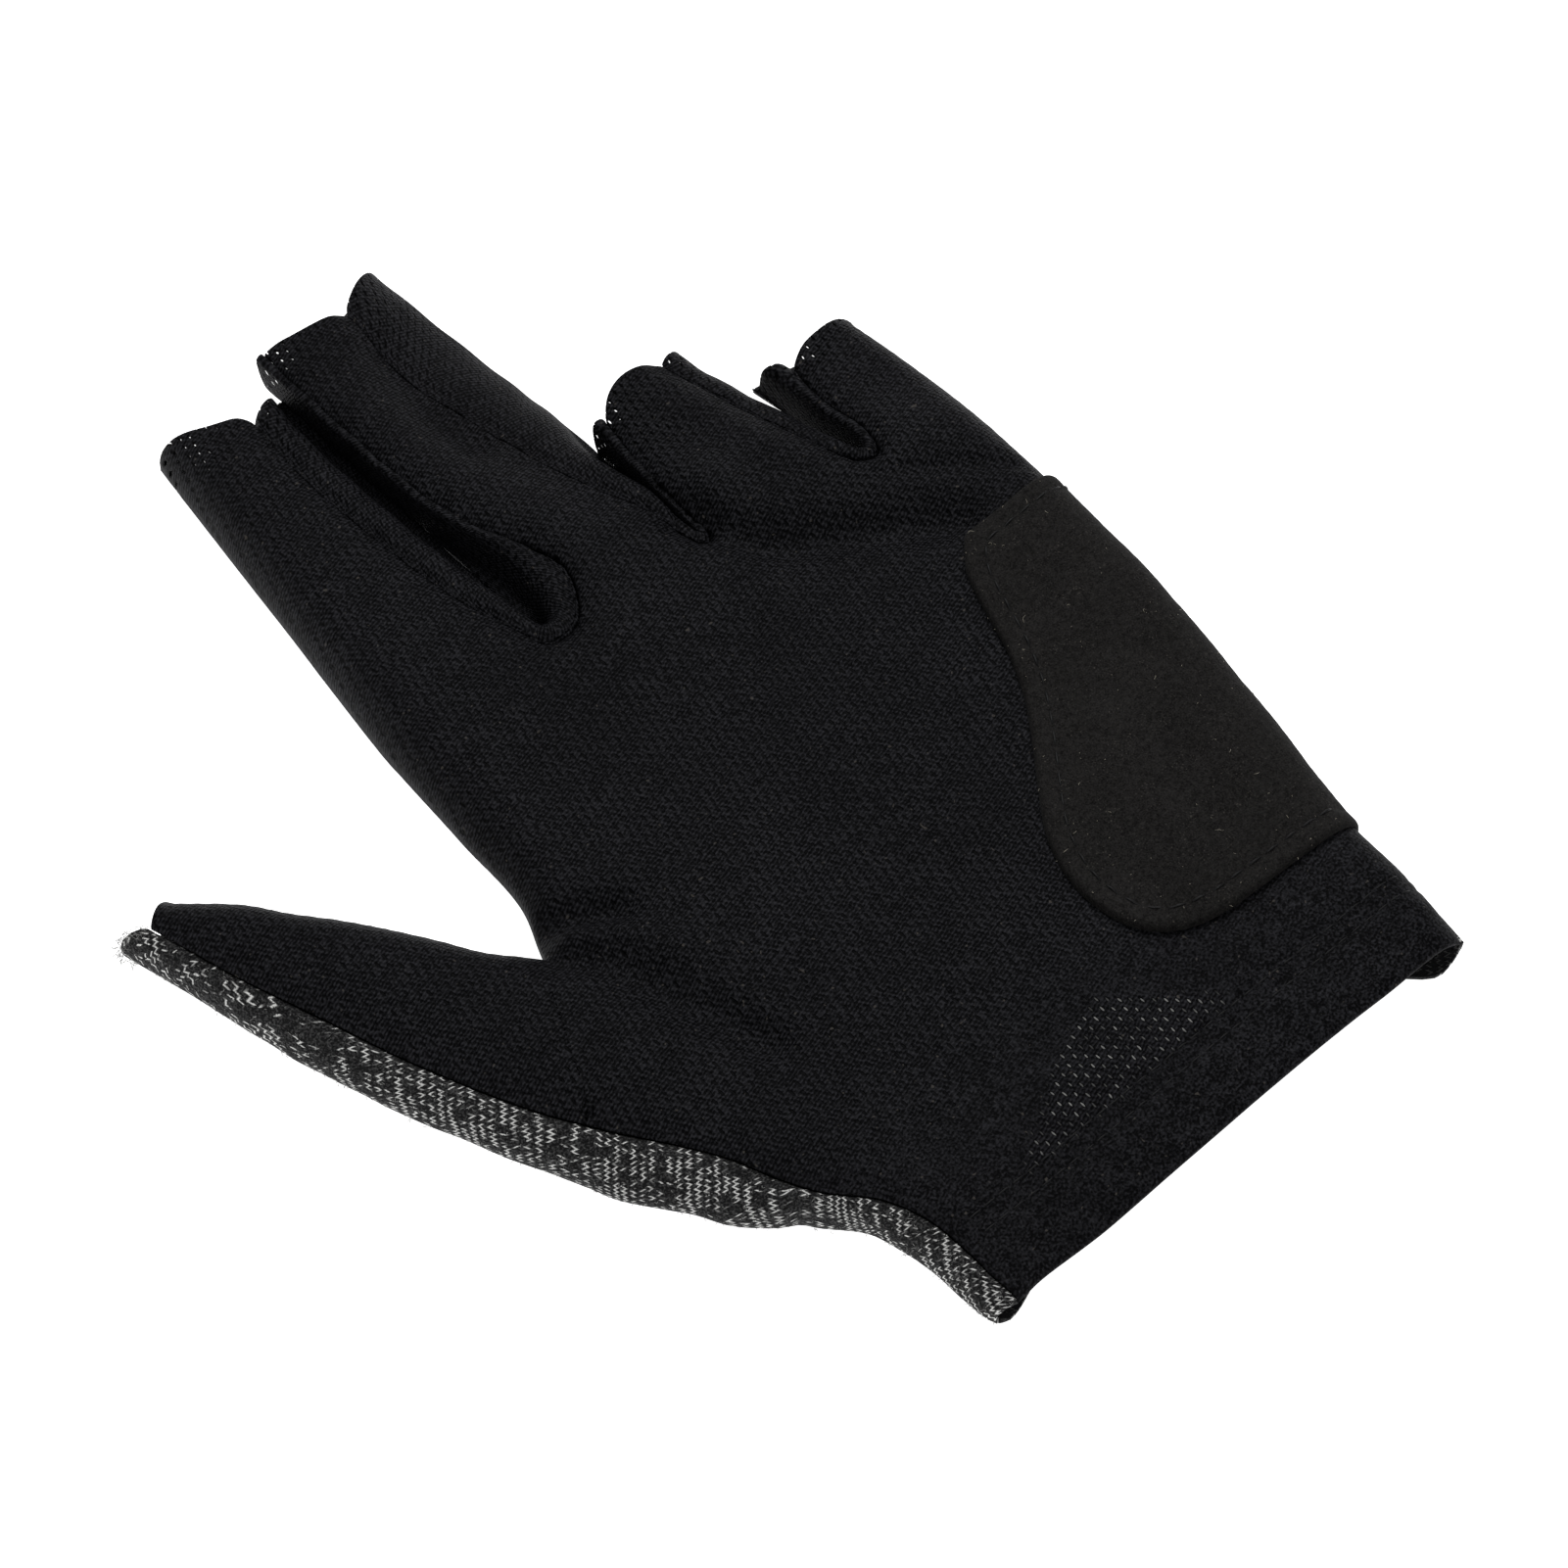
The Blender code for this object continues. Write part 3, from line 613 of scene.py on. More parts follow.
@lru_cache
def back_shape(wrinkle, pucker):
    """The back cloth's outside: flat on the floor, turned up along its edges by a quarter circle, and carried
    up the thumb's side round the profile ROLL to the palm cloth's seam. Its grain map unrolls with it."""
    palm, top = palm_shape(wrinkle, pucker)
    seam = top[palm.edges["roll"]]
    outline = (BACK_RADIAL, BACK_STATIONS, CUFF_LAP, 0.0006, back_dip)
    rim = Panel(*outline).line("roll")
    pull = (seam[:, :2] - rim) * (1 - ROLL[0][0])
    rows = palm.root_row
    panel = Panel(*outline, pull[: rows + 1], pull[rows + 1 :])
    at = panel.at
    at[:, 1] -= 0.0014 * hump(np.linalg.norm(at - plan(0.345, 0.0), axis=1), 0.0075)
    side = smooth(at[:, 1] / LENGTH, *np.array(SIDE_SEAM).T)
    level = side * crest(at)
    height = np.zeros(len(at))
    for name in ("thumb_side", "little_side"):
        gap, _way = beside(at, panel.line(name))
        height = np.maximum(height, level * (1 - rise(gap, FLOOR_ROUND)))
    for name in ("index_middle", "middle_ring", "ring_little"):
        gap, _way = beside(at, panel.line(name))
        height = np.maximum(height, 0.5 * MM * (1 - rise(gap, 0.0016)))
    floor = np.column_stack([at, height])
    inner = panel.edges["roll"]
    out, up = along(ROLL, np.linspace(0, 1, 31)[1:]).T
    way = beside(rim, rim)[1]
    fold = 1 - 0.16 * hump(way - 0.0268, 0.0016) - 0.05 * hump(way - 0.0085, 0.0022)
    lump = 1 + 0.05 * waves(np.column_stack([way, 0 * way]), 9, 10, 0.03, 0.006)
    reach = np.where(up < 0.95, 1.0, 0.5)[:, None] * (fold * lump - 1) + 1
    closing = 1 - 0.22 * (1 - rise(way, 0.0028))
    strip = lerp(seam[None, :, :2], rim[None], (out[:, None] * reach * closing)[..., None])
    lift = seam[None, :, 2] * up[:, None]
    strip = np.concatenate([strip, lift[..., None]], axis=-1)
    tuck = seam.copy()
    tuck[:, :2] += unit(rim - seam[:, :2]) * 0.10 * MM
    tuck[:, 2] -= 0.24 * MM
    strip = np.concatenate([strip, tuck[None]])
    past = np.linspace(0, 1, 7) ** 1.5 * 0.6 * MM
    strip[:, -7:, :2] += past[None, :, None] * unit(rim[-1] - rim[-8])
    start = len(floor)
    points = np.concatenate([floor, strip.reshape(-1, 3)])
    added = start + np.arange(strip.shape[0] * strip.shape[1]).reshape(strip.shape[:2])
    grid = np.concatenate([inner[None], added])
    faces = np.concatenate([panel.faces[:, ::-1], quads(grid)[:, ::-1]])
    grain = grain_of(points)
    inward = unit(seam[:, :2] - rim)
    steps = np.linalg.norm(np.diff(points[grid], axis=0), axis=-1)
    length = np.concatenate([np.zeros((1, len(seam))), np.cumsum(steps, axis=0)]) - steps[0]
    turned = np.stack([inward @ ROW_WAY, inward @ COLUMN_WAY], axis=1)
    spread = grain_of(rim)[None] + length[..., None] * turned[None] / GRAIN_SPAN
    grain[grid.ravel()] = spread.reshape(-1, 2)
    return panel, points, faces, grain, grid


def strip_shape(name, palm, top, back, low):
    """A side strip: from the palm cloth's edge outward and down to the back cloth's edge by the profile EVEN,
    or PIPED where it rolls over, with its two cut ends drawn out into a lobe by a half sine."""
    upper, lower = top[palm.edges[name]].copy(), low[back.edges[name]].copy()
    upper[:, 2] -= 0.28 * MM
    share = np.linspace(0, 1, STRIP_ROWS)[:, None]
    way = way_along(upper[:, :2])
    piped = 1.0 if name == "index_middle" else step_up(way / way[-1], 0.44, 0.56)
    even, rolled = (along(profile, share[:, 0]).T[..., None] for profile in (EVEN, PIPED))
    flat, drop = lerp(even, rolled, piped)
    out = outward(upper[:, :2])
    rows = lerp(upper[None, :, :2], lower[None, :, :2], flat[..., None])
    bulge = 0.35 * MM * np.sin(np.pi * share)
    rows = rows + out[None] * bulge[..., None]
    height = lerp(upper[None, :, 2], lower[None, :, 2] + 0.3 * MM, drop)
    height = height - 0.34 * MM * beat(way, 0.5)[None] * hump(share - 0.10, 0.10)
    height = height + 0.16 * MM * np.sin(2 * np.pi * way[None] / 0.0093 + 4 * share)
    for end, nearby in ((0, way), (-1, way[-1] - way)):
        inner = 6 if end == 0 else -7
        ahead = unit(rows[:, end] - rows[:, inner]).mean(axis=0)
        lobe = (1.9 if name == "middle_ring" and end == 0 else 1.0) * MM * np.sin(np.pi * share**0.8) ** 0.8
        near = 1 - step_up(nearby, 0.0, 0.0040)[None]
        rows = rows + ahead * (lobe * near)[..., None]
        height = height + 0.25 * MM * near * np.sin(np.pi * share)
        rows = rows + out[None] * (0.4 * MM * near * np.sin(np.pi * share))[..., None]
    points = np.concatenate([rows, height[..., None]], axis=-1)
    grid = np.arange(points.shape[0] * points.shape[1]).reshape(points.shape[:2])
    down = np.linalg.norm(np.diff(points, axis=0), axis=-1)
    down = np.concatenate([np.zeros((1, len(way))), np.cumsum(down, axis=0)])
    grain = np.stack([np.broadcast_to(way, down.shape), down], axis=-1) / GRAIN_SPAN + 0.25
    return points.reshape(-1, 3), quads(grid)[:, ::-1], grain.reshape(-1, 2)


def pad_rim(count):
    """The pad's inner outline as smooth plan points, and where each row reaches the little finger's side."""
    inner = along(PAD_OUTLINE, np.linspace(0, 1, count))
    fall = (PAD_OUTLINE[0][0] - inner[:, 0]) / (PAD_OUTLINE[0][0] - PAD_OUTLINE[-1][0])
    ends = lerp(PAD_ENDS[0], PAD_ENDS[1], fall)
    return plan(inner[:, 1], inner[:, 0]), ends * LENGTH


@lru_cache
def pad_shape(wrinkle, pucker, pad_wall, stitch):
    """The heel pad: rows from its inner outline to the little finger's side, standing off the palm cloth by
    its own wall, round over its cut edge and pressed in along its stitches by a bell."""
    palm, _top = palm_shape(wrinkle, pucker)
    inner, ends = pad_rim(110)
    right = np.array(ULNAR_EDGE)
    outer = np.column_stack([smooth(ends / LENGTH, *right.T) * BREADTH, ends])
    share = crowded(64)
    flat = lerp(inner[:, None], outer[:, None], share[None, :, None])
    points = flat.reshape(-1, 2)
    base = np.column_stack([points, palm_height(points, palm, wrinkle, pucker)])
    faces = quads(np.arange(len(points)).reshape(flat.shape[:2]))[:, ::-1]
    normals = vertex_normals(base, faces)
    edge = np.concatenate([outer[:1], inner, outer[-1:]])
    gap, way = beside(points, edge)
    line = hump(gap - STITCH_INSET, 0.7 * MM)
    press = line * (0.18 + 0.14 * np.cos(2 * np.pi * way / stitch)) * MM
    tuck = 0.15 + 0.85 * rise((1 - np.tile(share, len(inner))) * 0.020, 0.008)
    wall = pad_wall * tuck * (0.25 + 0.75 * rise(gap, 0.9 * MM)) - press
    wall += 0.10 * MM * waves(points, 21, 16, 0.02, 0.004)
    over = base + normals * (0.25 * MM + wall)[:, None]
    return over, base + normals * 0.1 * MM, faces


def within(points, corners, soft):
    """1 inside a plan polygon, falling off over a soft width outside it: a ray's crossings say which side."""
    x, y = points.T
    inside = np.zeros(len(points), dtype=bool)
    for (x0, y0), (x1, y1) in zip(corners, np.roll(corners, -1, axis=0)):
        crossed = (y0 > y) != (y1 > y)
        inside ^= crossed & (x < x0 + (y - y0) / (y1 - y0 + 1e-12) * (x1 - x0))
    gap, _way = beside(points, np.concatenate([corners, corners[:1]]))
    return np.where(inside, 1.0, 1 - step_up(gap, 0.0, soft))


def shell(outside, inside, faces):
    """Two copies of one grid, joined by walls along the sides that only one face has."""
    count = len(outside)
    sides = np.concatenate([faces[:, [k, (k + 1) % 4]] for k in range(4)])
    key = np.sort(sides, axis=1) @ np.array([4 * count, 1])
    _values, first, times = np.unique(key, return_index=True, return_counts=True)
    rim = sides[first[times == 1]]
    walls = np.column_stack([rim[:, 1], rim[:, 0], rim[:, 0] + count, rim[:, 1] + count])
    return np.concatenate([outside, inside]), np.concatenate([faces, faces[:, ::-1] + count, walls])


def tubes(lines, radii, up, sides=6):
    """Round threads along many lines at once: a circle of points square to each line's run, at each of its
    points, with closed ends. lines is threads by points by 3, and radii threads by points."""
    run = unit(np.gradient(lines, axis=1))
    right = unit(np.cross(run, np.broadcast_to(up, run.shape)))
    over = np.cross(right, run)
    turn = np.linspace(0, 2 * np.pi, sides, endpoint=False)
    ring = right[:, :, None] * np.cos(turn)[:, None] + over[:, :, None] * np.sin(turn)[:, None]
    points = lines[:, :, None] + ring * radii[:, :, None, None]
    threads, rows = lines.shape[:2]
    number = np.arange(threads * rows * sides).reshape(threads, rows, sides)
    ahead = np.roll(number, -1, axis=2)
    walls = np.stack([number[:, :-1], ahead[:, :-1], ahead[:, 1:], number[:, 1:]], axis=-1).reshape(-1, 4)
    half = sides // 2
    caps = []
    for row, turned in ((0, -1), (-1, 1)):
        cap = number[:, row]
        for k in range(1, half):
            face = [cap[:, k - 1], cap[:, k], cap[:, sides - 1 - k], cap[:, (sides - k) % sides]]
            caps.append(np.stack(face, axis=1)[:, ::turned])
    return points.reshape(-1, 3), np.concatenate([walls, *caps])


def stitches(path, up, step, length, radius):
    """Sewn stitches along a path: each an arched thread that dives into the cloth at both ends."""
    way = way_along(path)
    starts = np.arange(step * 0.3, way[-1] - length, step)
    t = np.linspace(0, 1, 7)
    at = starts[:, None] + length * t
    lines = np.stack([np.interp(at, way, column) for column in path.T], axis=-1)
    normal = np.stack([np.interp(at, way, column) for column in up.T], axis=-1)
    arch = radius * (1.1 * np.sin(np.pi * t) ** 0.7 - 0.75)
    lines = lines + unit(normal) * arch[None, :, None]
    radii = np.broadcast_to(radius * (0.55 + 0.45 * np.sin(np.pi * t)), at.shape)
    return tubes(lines, radii, unit(normal))


def gathered(parts):
    """One set of points and faces from several."""
    points, faces, start = [], [], 0
    for part_points, part_faces in parts:
        points.append(part_points)
        faces.append(part_faces + start)
        start += len(part_points)
    return np.concatenate(points), np.concatenate(faces)


def new_piece(name, points, faces, finish, grain=None, marks=None):
    """An object from whole arrays, with its grain map and its named shares from 0 to 1 at each point."""
    mesh = bpy.data.meshes.new(name)
    mesh.from_pydata((points - (0, ORIGIN_IN, 0)).tolist(), [], faces.tolist())
    corners = np.empty(len(mesh.loops), dtype=np.int64)
    mesh.loops.foreach_get("vertex_index", corners)
    if grain is not None:
        layer = mesh.uv_layers.new(name="grain")
        layer.data.foreach_set("uv", grain[corners].ravel())
    for mark, values in (marks or {}).items():
        layer = mesh.attributes.new(mark, "FLOAT", "POINT")
        layer.data.foreach_set("value", np.asarray(values, dtype=float))
    mesh.polygons.foreach_set("use_smooth", np.ones(len(mesh.polygons), dtype=bool))
    mesh.materials.append(finish)
    mesh.validate()
    obj = bpy.data.objects.new(name, mesh)
    bpy.context.scene.collection.objects.link(obj)
    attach(obj, "root")
    return obj


def thicken(obj, wall, shares=None):
    """A live Solidify on the cloth's inner side, thinner where the shares are below 1."""
    solid = obj.modifiers.new("wall", "SOLIDIFY")
    solid.thickness, solid.offset, solid.use_even_offset = wall, -1.0, False
    if shares is not None:
        group = obj.vertex_groups.new(name="wall")
        for value in np.unique(np.round(shares, 2)):
            group.add(np.flatnonzero(np.round(shares, 2) == value).tolist(), float(value), "REPLACE")
        solid.vertex_group = "wall"
        solid.thickness_vertex_group = 0.0


def flat_area(points, faces):
    """Sum of the faces' areas, each half the cross product of its diagonals."""
    a, b, c, d = (points[faces[:, k]] for k in range(4))
    return float(np.linalg.norm(np.cross(c - a, d - b), axis=1).sum() / 2)


class Wire:
    """A socket that Python's operators turn into Math nodes."""

    def __init__(self, finish, socket):
        self.finish, self.socket = finish, socket

    def maths(self, operation, *values):
        return self.finish.wire("ShaderNodeMath", dict(enumerate((self, *values))), operation=operation)

    def turned(self, operation, first):
        """The operation with this socket second."""
        return self.finish.wire("ShaderNodeMath", {0: first, 1: self}, operation=operation)

    def __add__(self, other):
        return self.maths("ADD", other)

    def __sub__(self, other):
        return self.maths("SUBTRACT", other)

    def __rsub__(self, other):
        return self.turned("SUBTRACT", other)

    def __mul__(self, other):
        return self.maths("MULTIPLY", other)

    def __truediv__(self, other):
        return self.maths("DIVIDE", other)

    def __rtruediv__(self, other):
        return self.turned("DIVIDE", other)

    __radd__, __rmul__ = __add__, __mul__

    def fract(self):
        return self.maths("FRACT")

    def floor(self):
        return self.maths("FLOOR")

    def abs(self):
        return self.maths("ABSOLUTE")

    def sin(self):
        return self.maths("SINE")

    def root(self):
        return self.maths("SQRT")

    def wave(self, step):
        """0 to 1 and back over each step."""
        return (self * (2 * np.pi / step)).sin() * 0.5 + 0.5

    def ease(self, low, high, start=0.0, end=1.0):
        """A soft step from start to end between two values."""
        inputs = {"Value": self, "From Min": low, "From Max": high, "To Min": start, "To Max": end}
        return self.finish.wire("ShaderNodeMapRange", inputs, interpolation_type="SMOOTHSTEP")


class Finish:
    """A Principled material and its nodes."""

    def __init__(self, name, roughness, **constants):
        self.made = bpy.data.materials.new(name)
        self.made.use_nodes = True
        self.tree = self.made.node_tree
        self.shader = self.tree.nodes["Principled BSDF"]
        self.shader.inputs["Roughness"].default_value = roughness
        for socket, value in constants.items():
            self.shader.inputs[socket.replace("_", " ")].default_value = value

    def node(self, kind, inputs, **settings):
        """A node of a kind: its settings first, then its sockets' values or links."""
        made = self.tree.nodes.new(kind)
        for setting, value in settings.items():
            setattr(made, setting, value)
        for socket, value in inputs.items():
            if isinstance(value, Wire):
                self.tree.links.new(value.socket, made.inputs[socket])
            else:
                made.inputs[socket].default_value = value
        return made

    def wire(self, kind, inputs, output=0, **settings):
        return Wire(self, self.node(kind, inputs, **settings).outputs[output])

    def grain(self):
        """Metres along and across the cloth's rows, from its grain map."""
        parts = self.node("ShaderNodeSeparateXYZ", {0: self.wire("ShaderNodeUVMap", {}, uv_map="grain")})
        return ((Wire(self, parts.outputs[k]) - 0.5) * GRAIN_SPAN for k in (0, 1))

    def place(self):
        return self.wire("ShaderNodeTexCoord", {}, "Object")

    def mark(self, name):
        return self.wire("ShaderNodeAttribute", {}, "Fac", attribute_name=name)

    def vector(self, x, y, z=0.0):
        return self.wire("ShaderNodeCombineXYZ", {0: x, 1: y, 2: z})

    def noise(self, at, scale, detail=2.0, roughness=0.5):
        inputs = {"Vector": at, "Scale": scale, "Detail": detail, "Roughness": roughness}
        return self.wire("ShaderNodeTexNoise", inputs, "Fac")

    def chance(self, at):
        return self.wire("ShaderNodeTexWhiteNoise", {"Vector": at}, "Value")

    def mix(self, share, one, other):
        inputs = {0: share, 6: colour(one), 7: colour(other)}
        return self.wire("ShaderNodeMix", inputs, 2, data_type="RGBA")

    def paint(self, socket, wire):
        self.tree.links.new(wire.socket, self.shader.inputs[socket])

    def relief(self, height, depth, strength):
        bump = {"Height": height, "Distance": depth, "Strength": strength}
        self.paint("Normal", self.wire("ShaderNodeBump", bump))


def colour(value):
    """A wire as it is, or three numbers with an alpha of 1."""
    return value if isinstance(value, Wire) else (*value, 1.0)


def mesh_finish(name, sizes, colours):
    """Black eyelet mesh: staggered slanting slits between slanting yarns. The slits are real holes where the
    cloth is stretched open, by its mark 'open', show the cloth below where its mark 'lying' says, and blur
    toward the cuff, by its mark 'worn'."""
    finish = Finish(name, 0.62, Specular_IOR_Level=0.05)
    u, v = finish.grain()
    stray = finish.noise(finish.place(), 420.0, 2.0)
    sway = finish.noise(finish.place(), 900.0, 1.0)
    u = u + (stray - 0.5) * 0.00045 + (sway - 0.5) * 0.00035
    v = v + (stray - 0.5) * 0.00022 - (sway - 0.5) * 0.00030
    row = v / sizes.eyelet_rows
    odd = (row.floor() * 0.5).fract()
    step = u / sizes.eyelet_along + odd
    p = (step.fract() - 0.5) * (sizes.eyelet_along / MM)
    q = (row.fract() - 0.5) * (sizes.eyelet_rows / MM)
    long, short = (p - q) * 0.70, (p + q) * 0.70
    reach = (long * long / 0.27 + short * short / 0.030).root()
    cell = finish.chance(finish.vector(step.floor(), row.floor()))
    fine = finish.noise(finish.place(), 2600.0, 1.0)
    worn = finish.mark("worn") * (1 - finish.mark("lying"))
    slit = reach.ease(0.70, 1.40, 1.0, 0.0) * (cell * 0.6 + 0.4) * (1 - worn * 0.8)
    yarn = (u * 0.80 + v * -0.52).wave(0.00046)
    loop = (u * 0.25 + v * 0.97).wave(0.00065)
    strand = yarn * 0.6 + loop * 0.4
    broad = finish.noise(finish.place(), 55.0, 3.0)
    mote = finish.noise(finish.place(), 1500.0, 0.0).ease(0.80, 0.86)
    salt = finish.noise(finish.place(), 3600.0, 0.0)
    woven = strand * strand * 0.95 - 0.30
    lit = woven * (1 - worn * 0.75) + (fine - 0.5) * (worn * 0.5 + 1.7) + (salt - 0.5) * worn
    shade = (lit + (cell - 0.5) * 0.25 + 0.36 - worn * 0.11) * (broad * 0.8 + 0.55)
    yarns = finish.mix(shade, (0.0012, 0.0012, 0.0016), tuple(2.2 * c for c in colours.mesh))
    # The slits are painted shade: colours.slit stands for the dark hollow of the glove seen through them. Where
    # the mesh lies on the jersey, their cores show the jersey's grey instead.
    behind = finish.mix(finish.mark("lying"), colours.slit, (0.26, 0.26, 0.25))
    core = reach.ease(0.42, 0.78, 1.0, 0.0) * cell.ease(0.05, 0.6, 0.40, 1.0)
    shown = finish.mix(core, colours.slit, behind)
    finish.paint("Base Color", finish.mix(mote * 0.5, finish.mix(slit, yarns, shown), (0.10, 0.09, 0.08)))
    finish.paint("Alpha", 1 - reach.ease(0.45, 0.80, 1.0, 0.0) * finish.mark("open"))
    raised = (1 - slit) * (strand * (1 - worn * 0.8) * 0.45 + 0.55)
    finish.relief(raised + (fine - 0.5) * 0.6, 0.28 * MM, 0.85)
    return finish.made


def jersey_finish(name, sizes, colours):
    """Heather jersey: columns of zigzag loops, whose light and dark yarns run on for several loops."""
    finish = Finish(name, 0.85, Specular_IOR_Level=0.1, Sheen_Weight=0.02, Sheen_Roughness=0.5)
    u, v = finish.grain()
    stray = finish.noise(finish.place(), 260.0, 2.0) - 0.5
    column = (u + stray * 0.0013) / sizes.wale
    number = column.floor()
    loop = (v + stray * 0.0008) / sizes.course + finish.chance(finish.vector(number, 0.5)) * 0.9
    zigzag = (loop.fract() - 0.5).abs() * 2.0
    slip = finish.chance(finish.vector(number, loop.floor() + 0.3)) * 0.20
    leg = (column.fract() - 0.16 - slip - zigzag * 0.48).abs()
    stroke = leg.ease(0.07, 0.25, 1.0, 0.0)
    patch = finish.noise(finish.vector(number * 3.71 + 0.5, v * 330.0, number * 0.37), 1.0, 2.0, 0.6)
    broad = finish.noise(finish.vector(u * 150.0, v * 80.0), 1.0, 2.0)
    whole = finish.chance(finish.vector(number, 7.5))
    dash = finish.chance(finish.vector(number, (loop * 2.0).floor()))
    light = (patch * 1.05 + broad * 0.55 + dash * 0.30 + whole * 0.12).ease(0.95, 1.05)
    fleck = finish.noise(finish.place(), 3200.0, 1.0, 0.6)
    share = light * stroke * fleck.ease(0.30, 0.46) * (dash * 0.3 + 0.7)
    ground = finish.mix(fleck.ease(0.40, 0.75) * (patch + 0.3), colours.jersey_dark, (0.10, 0.10, 0.10))
    face = finish.mix(share, ground, colours.jersey_light)
    # The lining, marked 'inside', is painted near black: painted shade of the glove's hollow.
    finish.paint("Base Color", finish.mix(finish.mark("inside") * 0.92, face, (0.012, 0.012, 0.013)))
    finish.relief(stroke * 0.8 + fleck * 0.35, 0.35 * MM, 0.9)
    return finish.made


def suede_finish(name, colours):
    """Brushed microfibre: a matt nap with soft clouds, fine grain and scattered light flecks."""
    finish = Finish(name, 0.95, Specular_IOR_Level=0.06, Sheen_Weight=0.03, Sheen_Roughness=0.4)
    at = finish.place()
    cloud = finish.noise(at, 90.0, 4.0, 0.6)
    nap = finish.noise(at, 1400.0, 3.0, 0.7)
    grain = finish.noise(at, 4200.0, 1.0)
    shade = cloud * 0.5 + (nap - 0.5) * 1.3 + (grain - 0.5) * 1.5 + 0.16
    dark, light = (tuple(share * c for c in colours.suede) for share in (0.40, 1.95))
    base = finish.mix(shade, dark, light)
    fleck = grain.ease(0.68, 0.76) * finish.noise(at, 300.0, 2.0).ease(0.46, 0.60)
    finish.paint("Base Color", finish.mix(fleck * 0.5, base, (0.11, 0.10, 0.085)))
    finish.relief(nap * 0.7 + grain * 0.3, 0.16 * MM, 0.8)
    return finish.made


def thread_finish(name, shade, roughness):
    """Twisted thread: fine bands of shade along it."""
    finish = Finish(name, roughness, Specular_IOR_Level=0.3)
    twist = finish.noise(finish.place(), 3000.0, 1.0)
    dark, light = (tuple(share * c for c in shade) for share in (0.6, 1.4))
    finish.paint("Base Color", finish.mix(twist, dark, light))
    finish.relief(twist, 0.05 * MM, 0.6)
    return finish.made


def sweep_finish(name, shade):
    """White paper, its tone clouded by less than a hundredth."""
    glow = {"Emission_Color": (1, 1, 1, 1), "Emission_Strength": 1.0}
    finish = Finish(name, 0.9, Specular_IOR_Level=0.0, **glow)
    cloud = finish.noise(finish.place(), 6.0, 2.0)
    finish.paint("Base Color", finish.mix(cloud, tuple(0.99 * c for c in shade), shade))
    return finish.made


def settings():
    """The scene's own sizes and colours."""
    return bpy.context.scene.glove_sizes, bpy.context.scene.glove_colours


class GLOVE_OT_palm(bpy.types.Operator):
    """Lay the black mesh palm, with the palm side of every finger and its cuff hem"""

    bl_idname = "glove.palm"
    bl_label = "Palm cloth"

    def execute(self, context):
        sizes, colours = settings()
        panel, points = palm_shape(sizes.wrinkle, sizes.pucker)
        held_open = np.zeros(len(points))
        for x, y, reach in STRETCHED:
            away = np.linalg.norm(points[:, :2] - plan(x, y), axis=1)
            held_open = np.maximum(held_open, 1.25 * hump(away, reach))
        cuff = past_cuff(points, panel)
        in_hem = 1 - np.clip((cuff - HEM_WIDTH) / MM, 0, 1)
        lying = within(points[:, :2], plan(*np.array(LYING).T), 1.2 * MM)
        worn = 1 - step_up(cuff, HEM_WIDTH, 0.036)
        marks = {"open": np.clip(held_open, 0, 1), "lying": lying, "worn": worn}
        finish = mesh_finish("black mesh", sizes, colours)
        grain = grain_of(points)
        cloth = new_piece("palm_cloth", points, panel.faces, finish, grain, marks)
        edge = 0.25 + 0.75 * rise(beside(points[:, :2], panel.line("roll"))[0], 0.0025)
        thicken(cloth, HEM_WALL, edge * lerp(sizes.mesh_wall / HEM_WALL, 1.0, in_hem))
        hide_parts("palm_panel")
        area = flat_area(points, panel.faces)
        return {"FINISHED"}


class GLOVE_OT_back(bpy.types.Operator):
    """Lay the heather back on the floor and roll its edge up the thumb's side"""

    bl_idname = "glove.back"
    bl_label = "Back cloth"

    def execute(self, context):
        sizes, colours = settings()
        _panel, points, faces, grain, _grid = back_shape(sizes.wrinkle, sizes.pucker)
        lining = points - vertex_normals(points, faces) * sizes.jersey_wall
        # The surface is cached, so this clip also holds for what is laid on it later.
        points[:, 2] = np.maximum(points[:, 2], 0.0)
        lining[:, 2] = np.maximum(lining[:, 2], 0.3 * sizes.jersey_wall)
        both, walls = shell(points, lining, faces)
        finish = jersey_finish("grey heather", sizes, colours)
        # The lining's mark lets its finish paint it near black, as painted shade of the glove's hollow.
        marks = {"inside": np.repeat((0.0, 1.0), len(points))}
        grain = np.tile(grain, (2, 1))
        cloth = new_piece("back_cloth", both, walls, finish, grain, marks)
        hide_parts("back_panel")
        area = flat_area(points, faces)
        return {"FINISHED"}


class GLOVE_OT_side_strips(bpy.types.Operator):
    """Sew in the three mesh strips between the fingers"""

    bl_idname = "glove.side_strips"
    bl_label = "Side strips"

    def execute(self, context):
        sizes, colours = settings()
        palm, top = palm_shape(sizes.wrinkle, sizes.pucker)
        back, low, _faces, _grain, _grid = back_shape(sizes.wrinkle, sizes.pucker)
        finish = mesh_finish("black mesh strips", sizes, colours)
        for name in ("index_middle", "middle_ring", "ring_little"):
            points, faces, grain = strip_shape(name, palm, top, back, low)
            line = np.tile(np.linspace(0, 1, len(palm.edges[name])), STRIP_ROWS)
            held_open = np.clip(1 - np.minimum(line, 1 - line) / 0.10, 0, 1)
            marks = {"open": held_open, "lying": 0 * line, "worn": 0 * line}
            piece = "side_strip_" + name
            cloth = new_piece(piece, points, faces, finish, grain, marks)
            thicken(cloth, sizes.mesh_wall)
            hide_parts("fourchette_" + name)
            area = flat_area(points, faces)
        return {"FINISHED"}


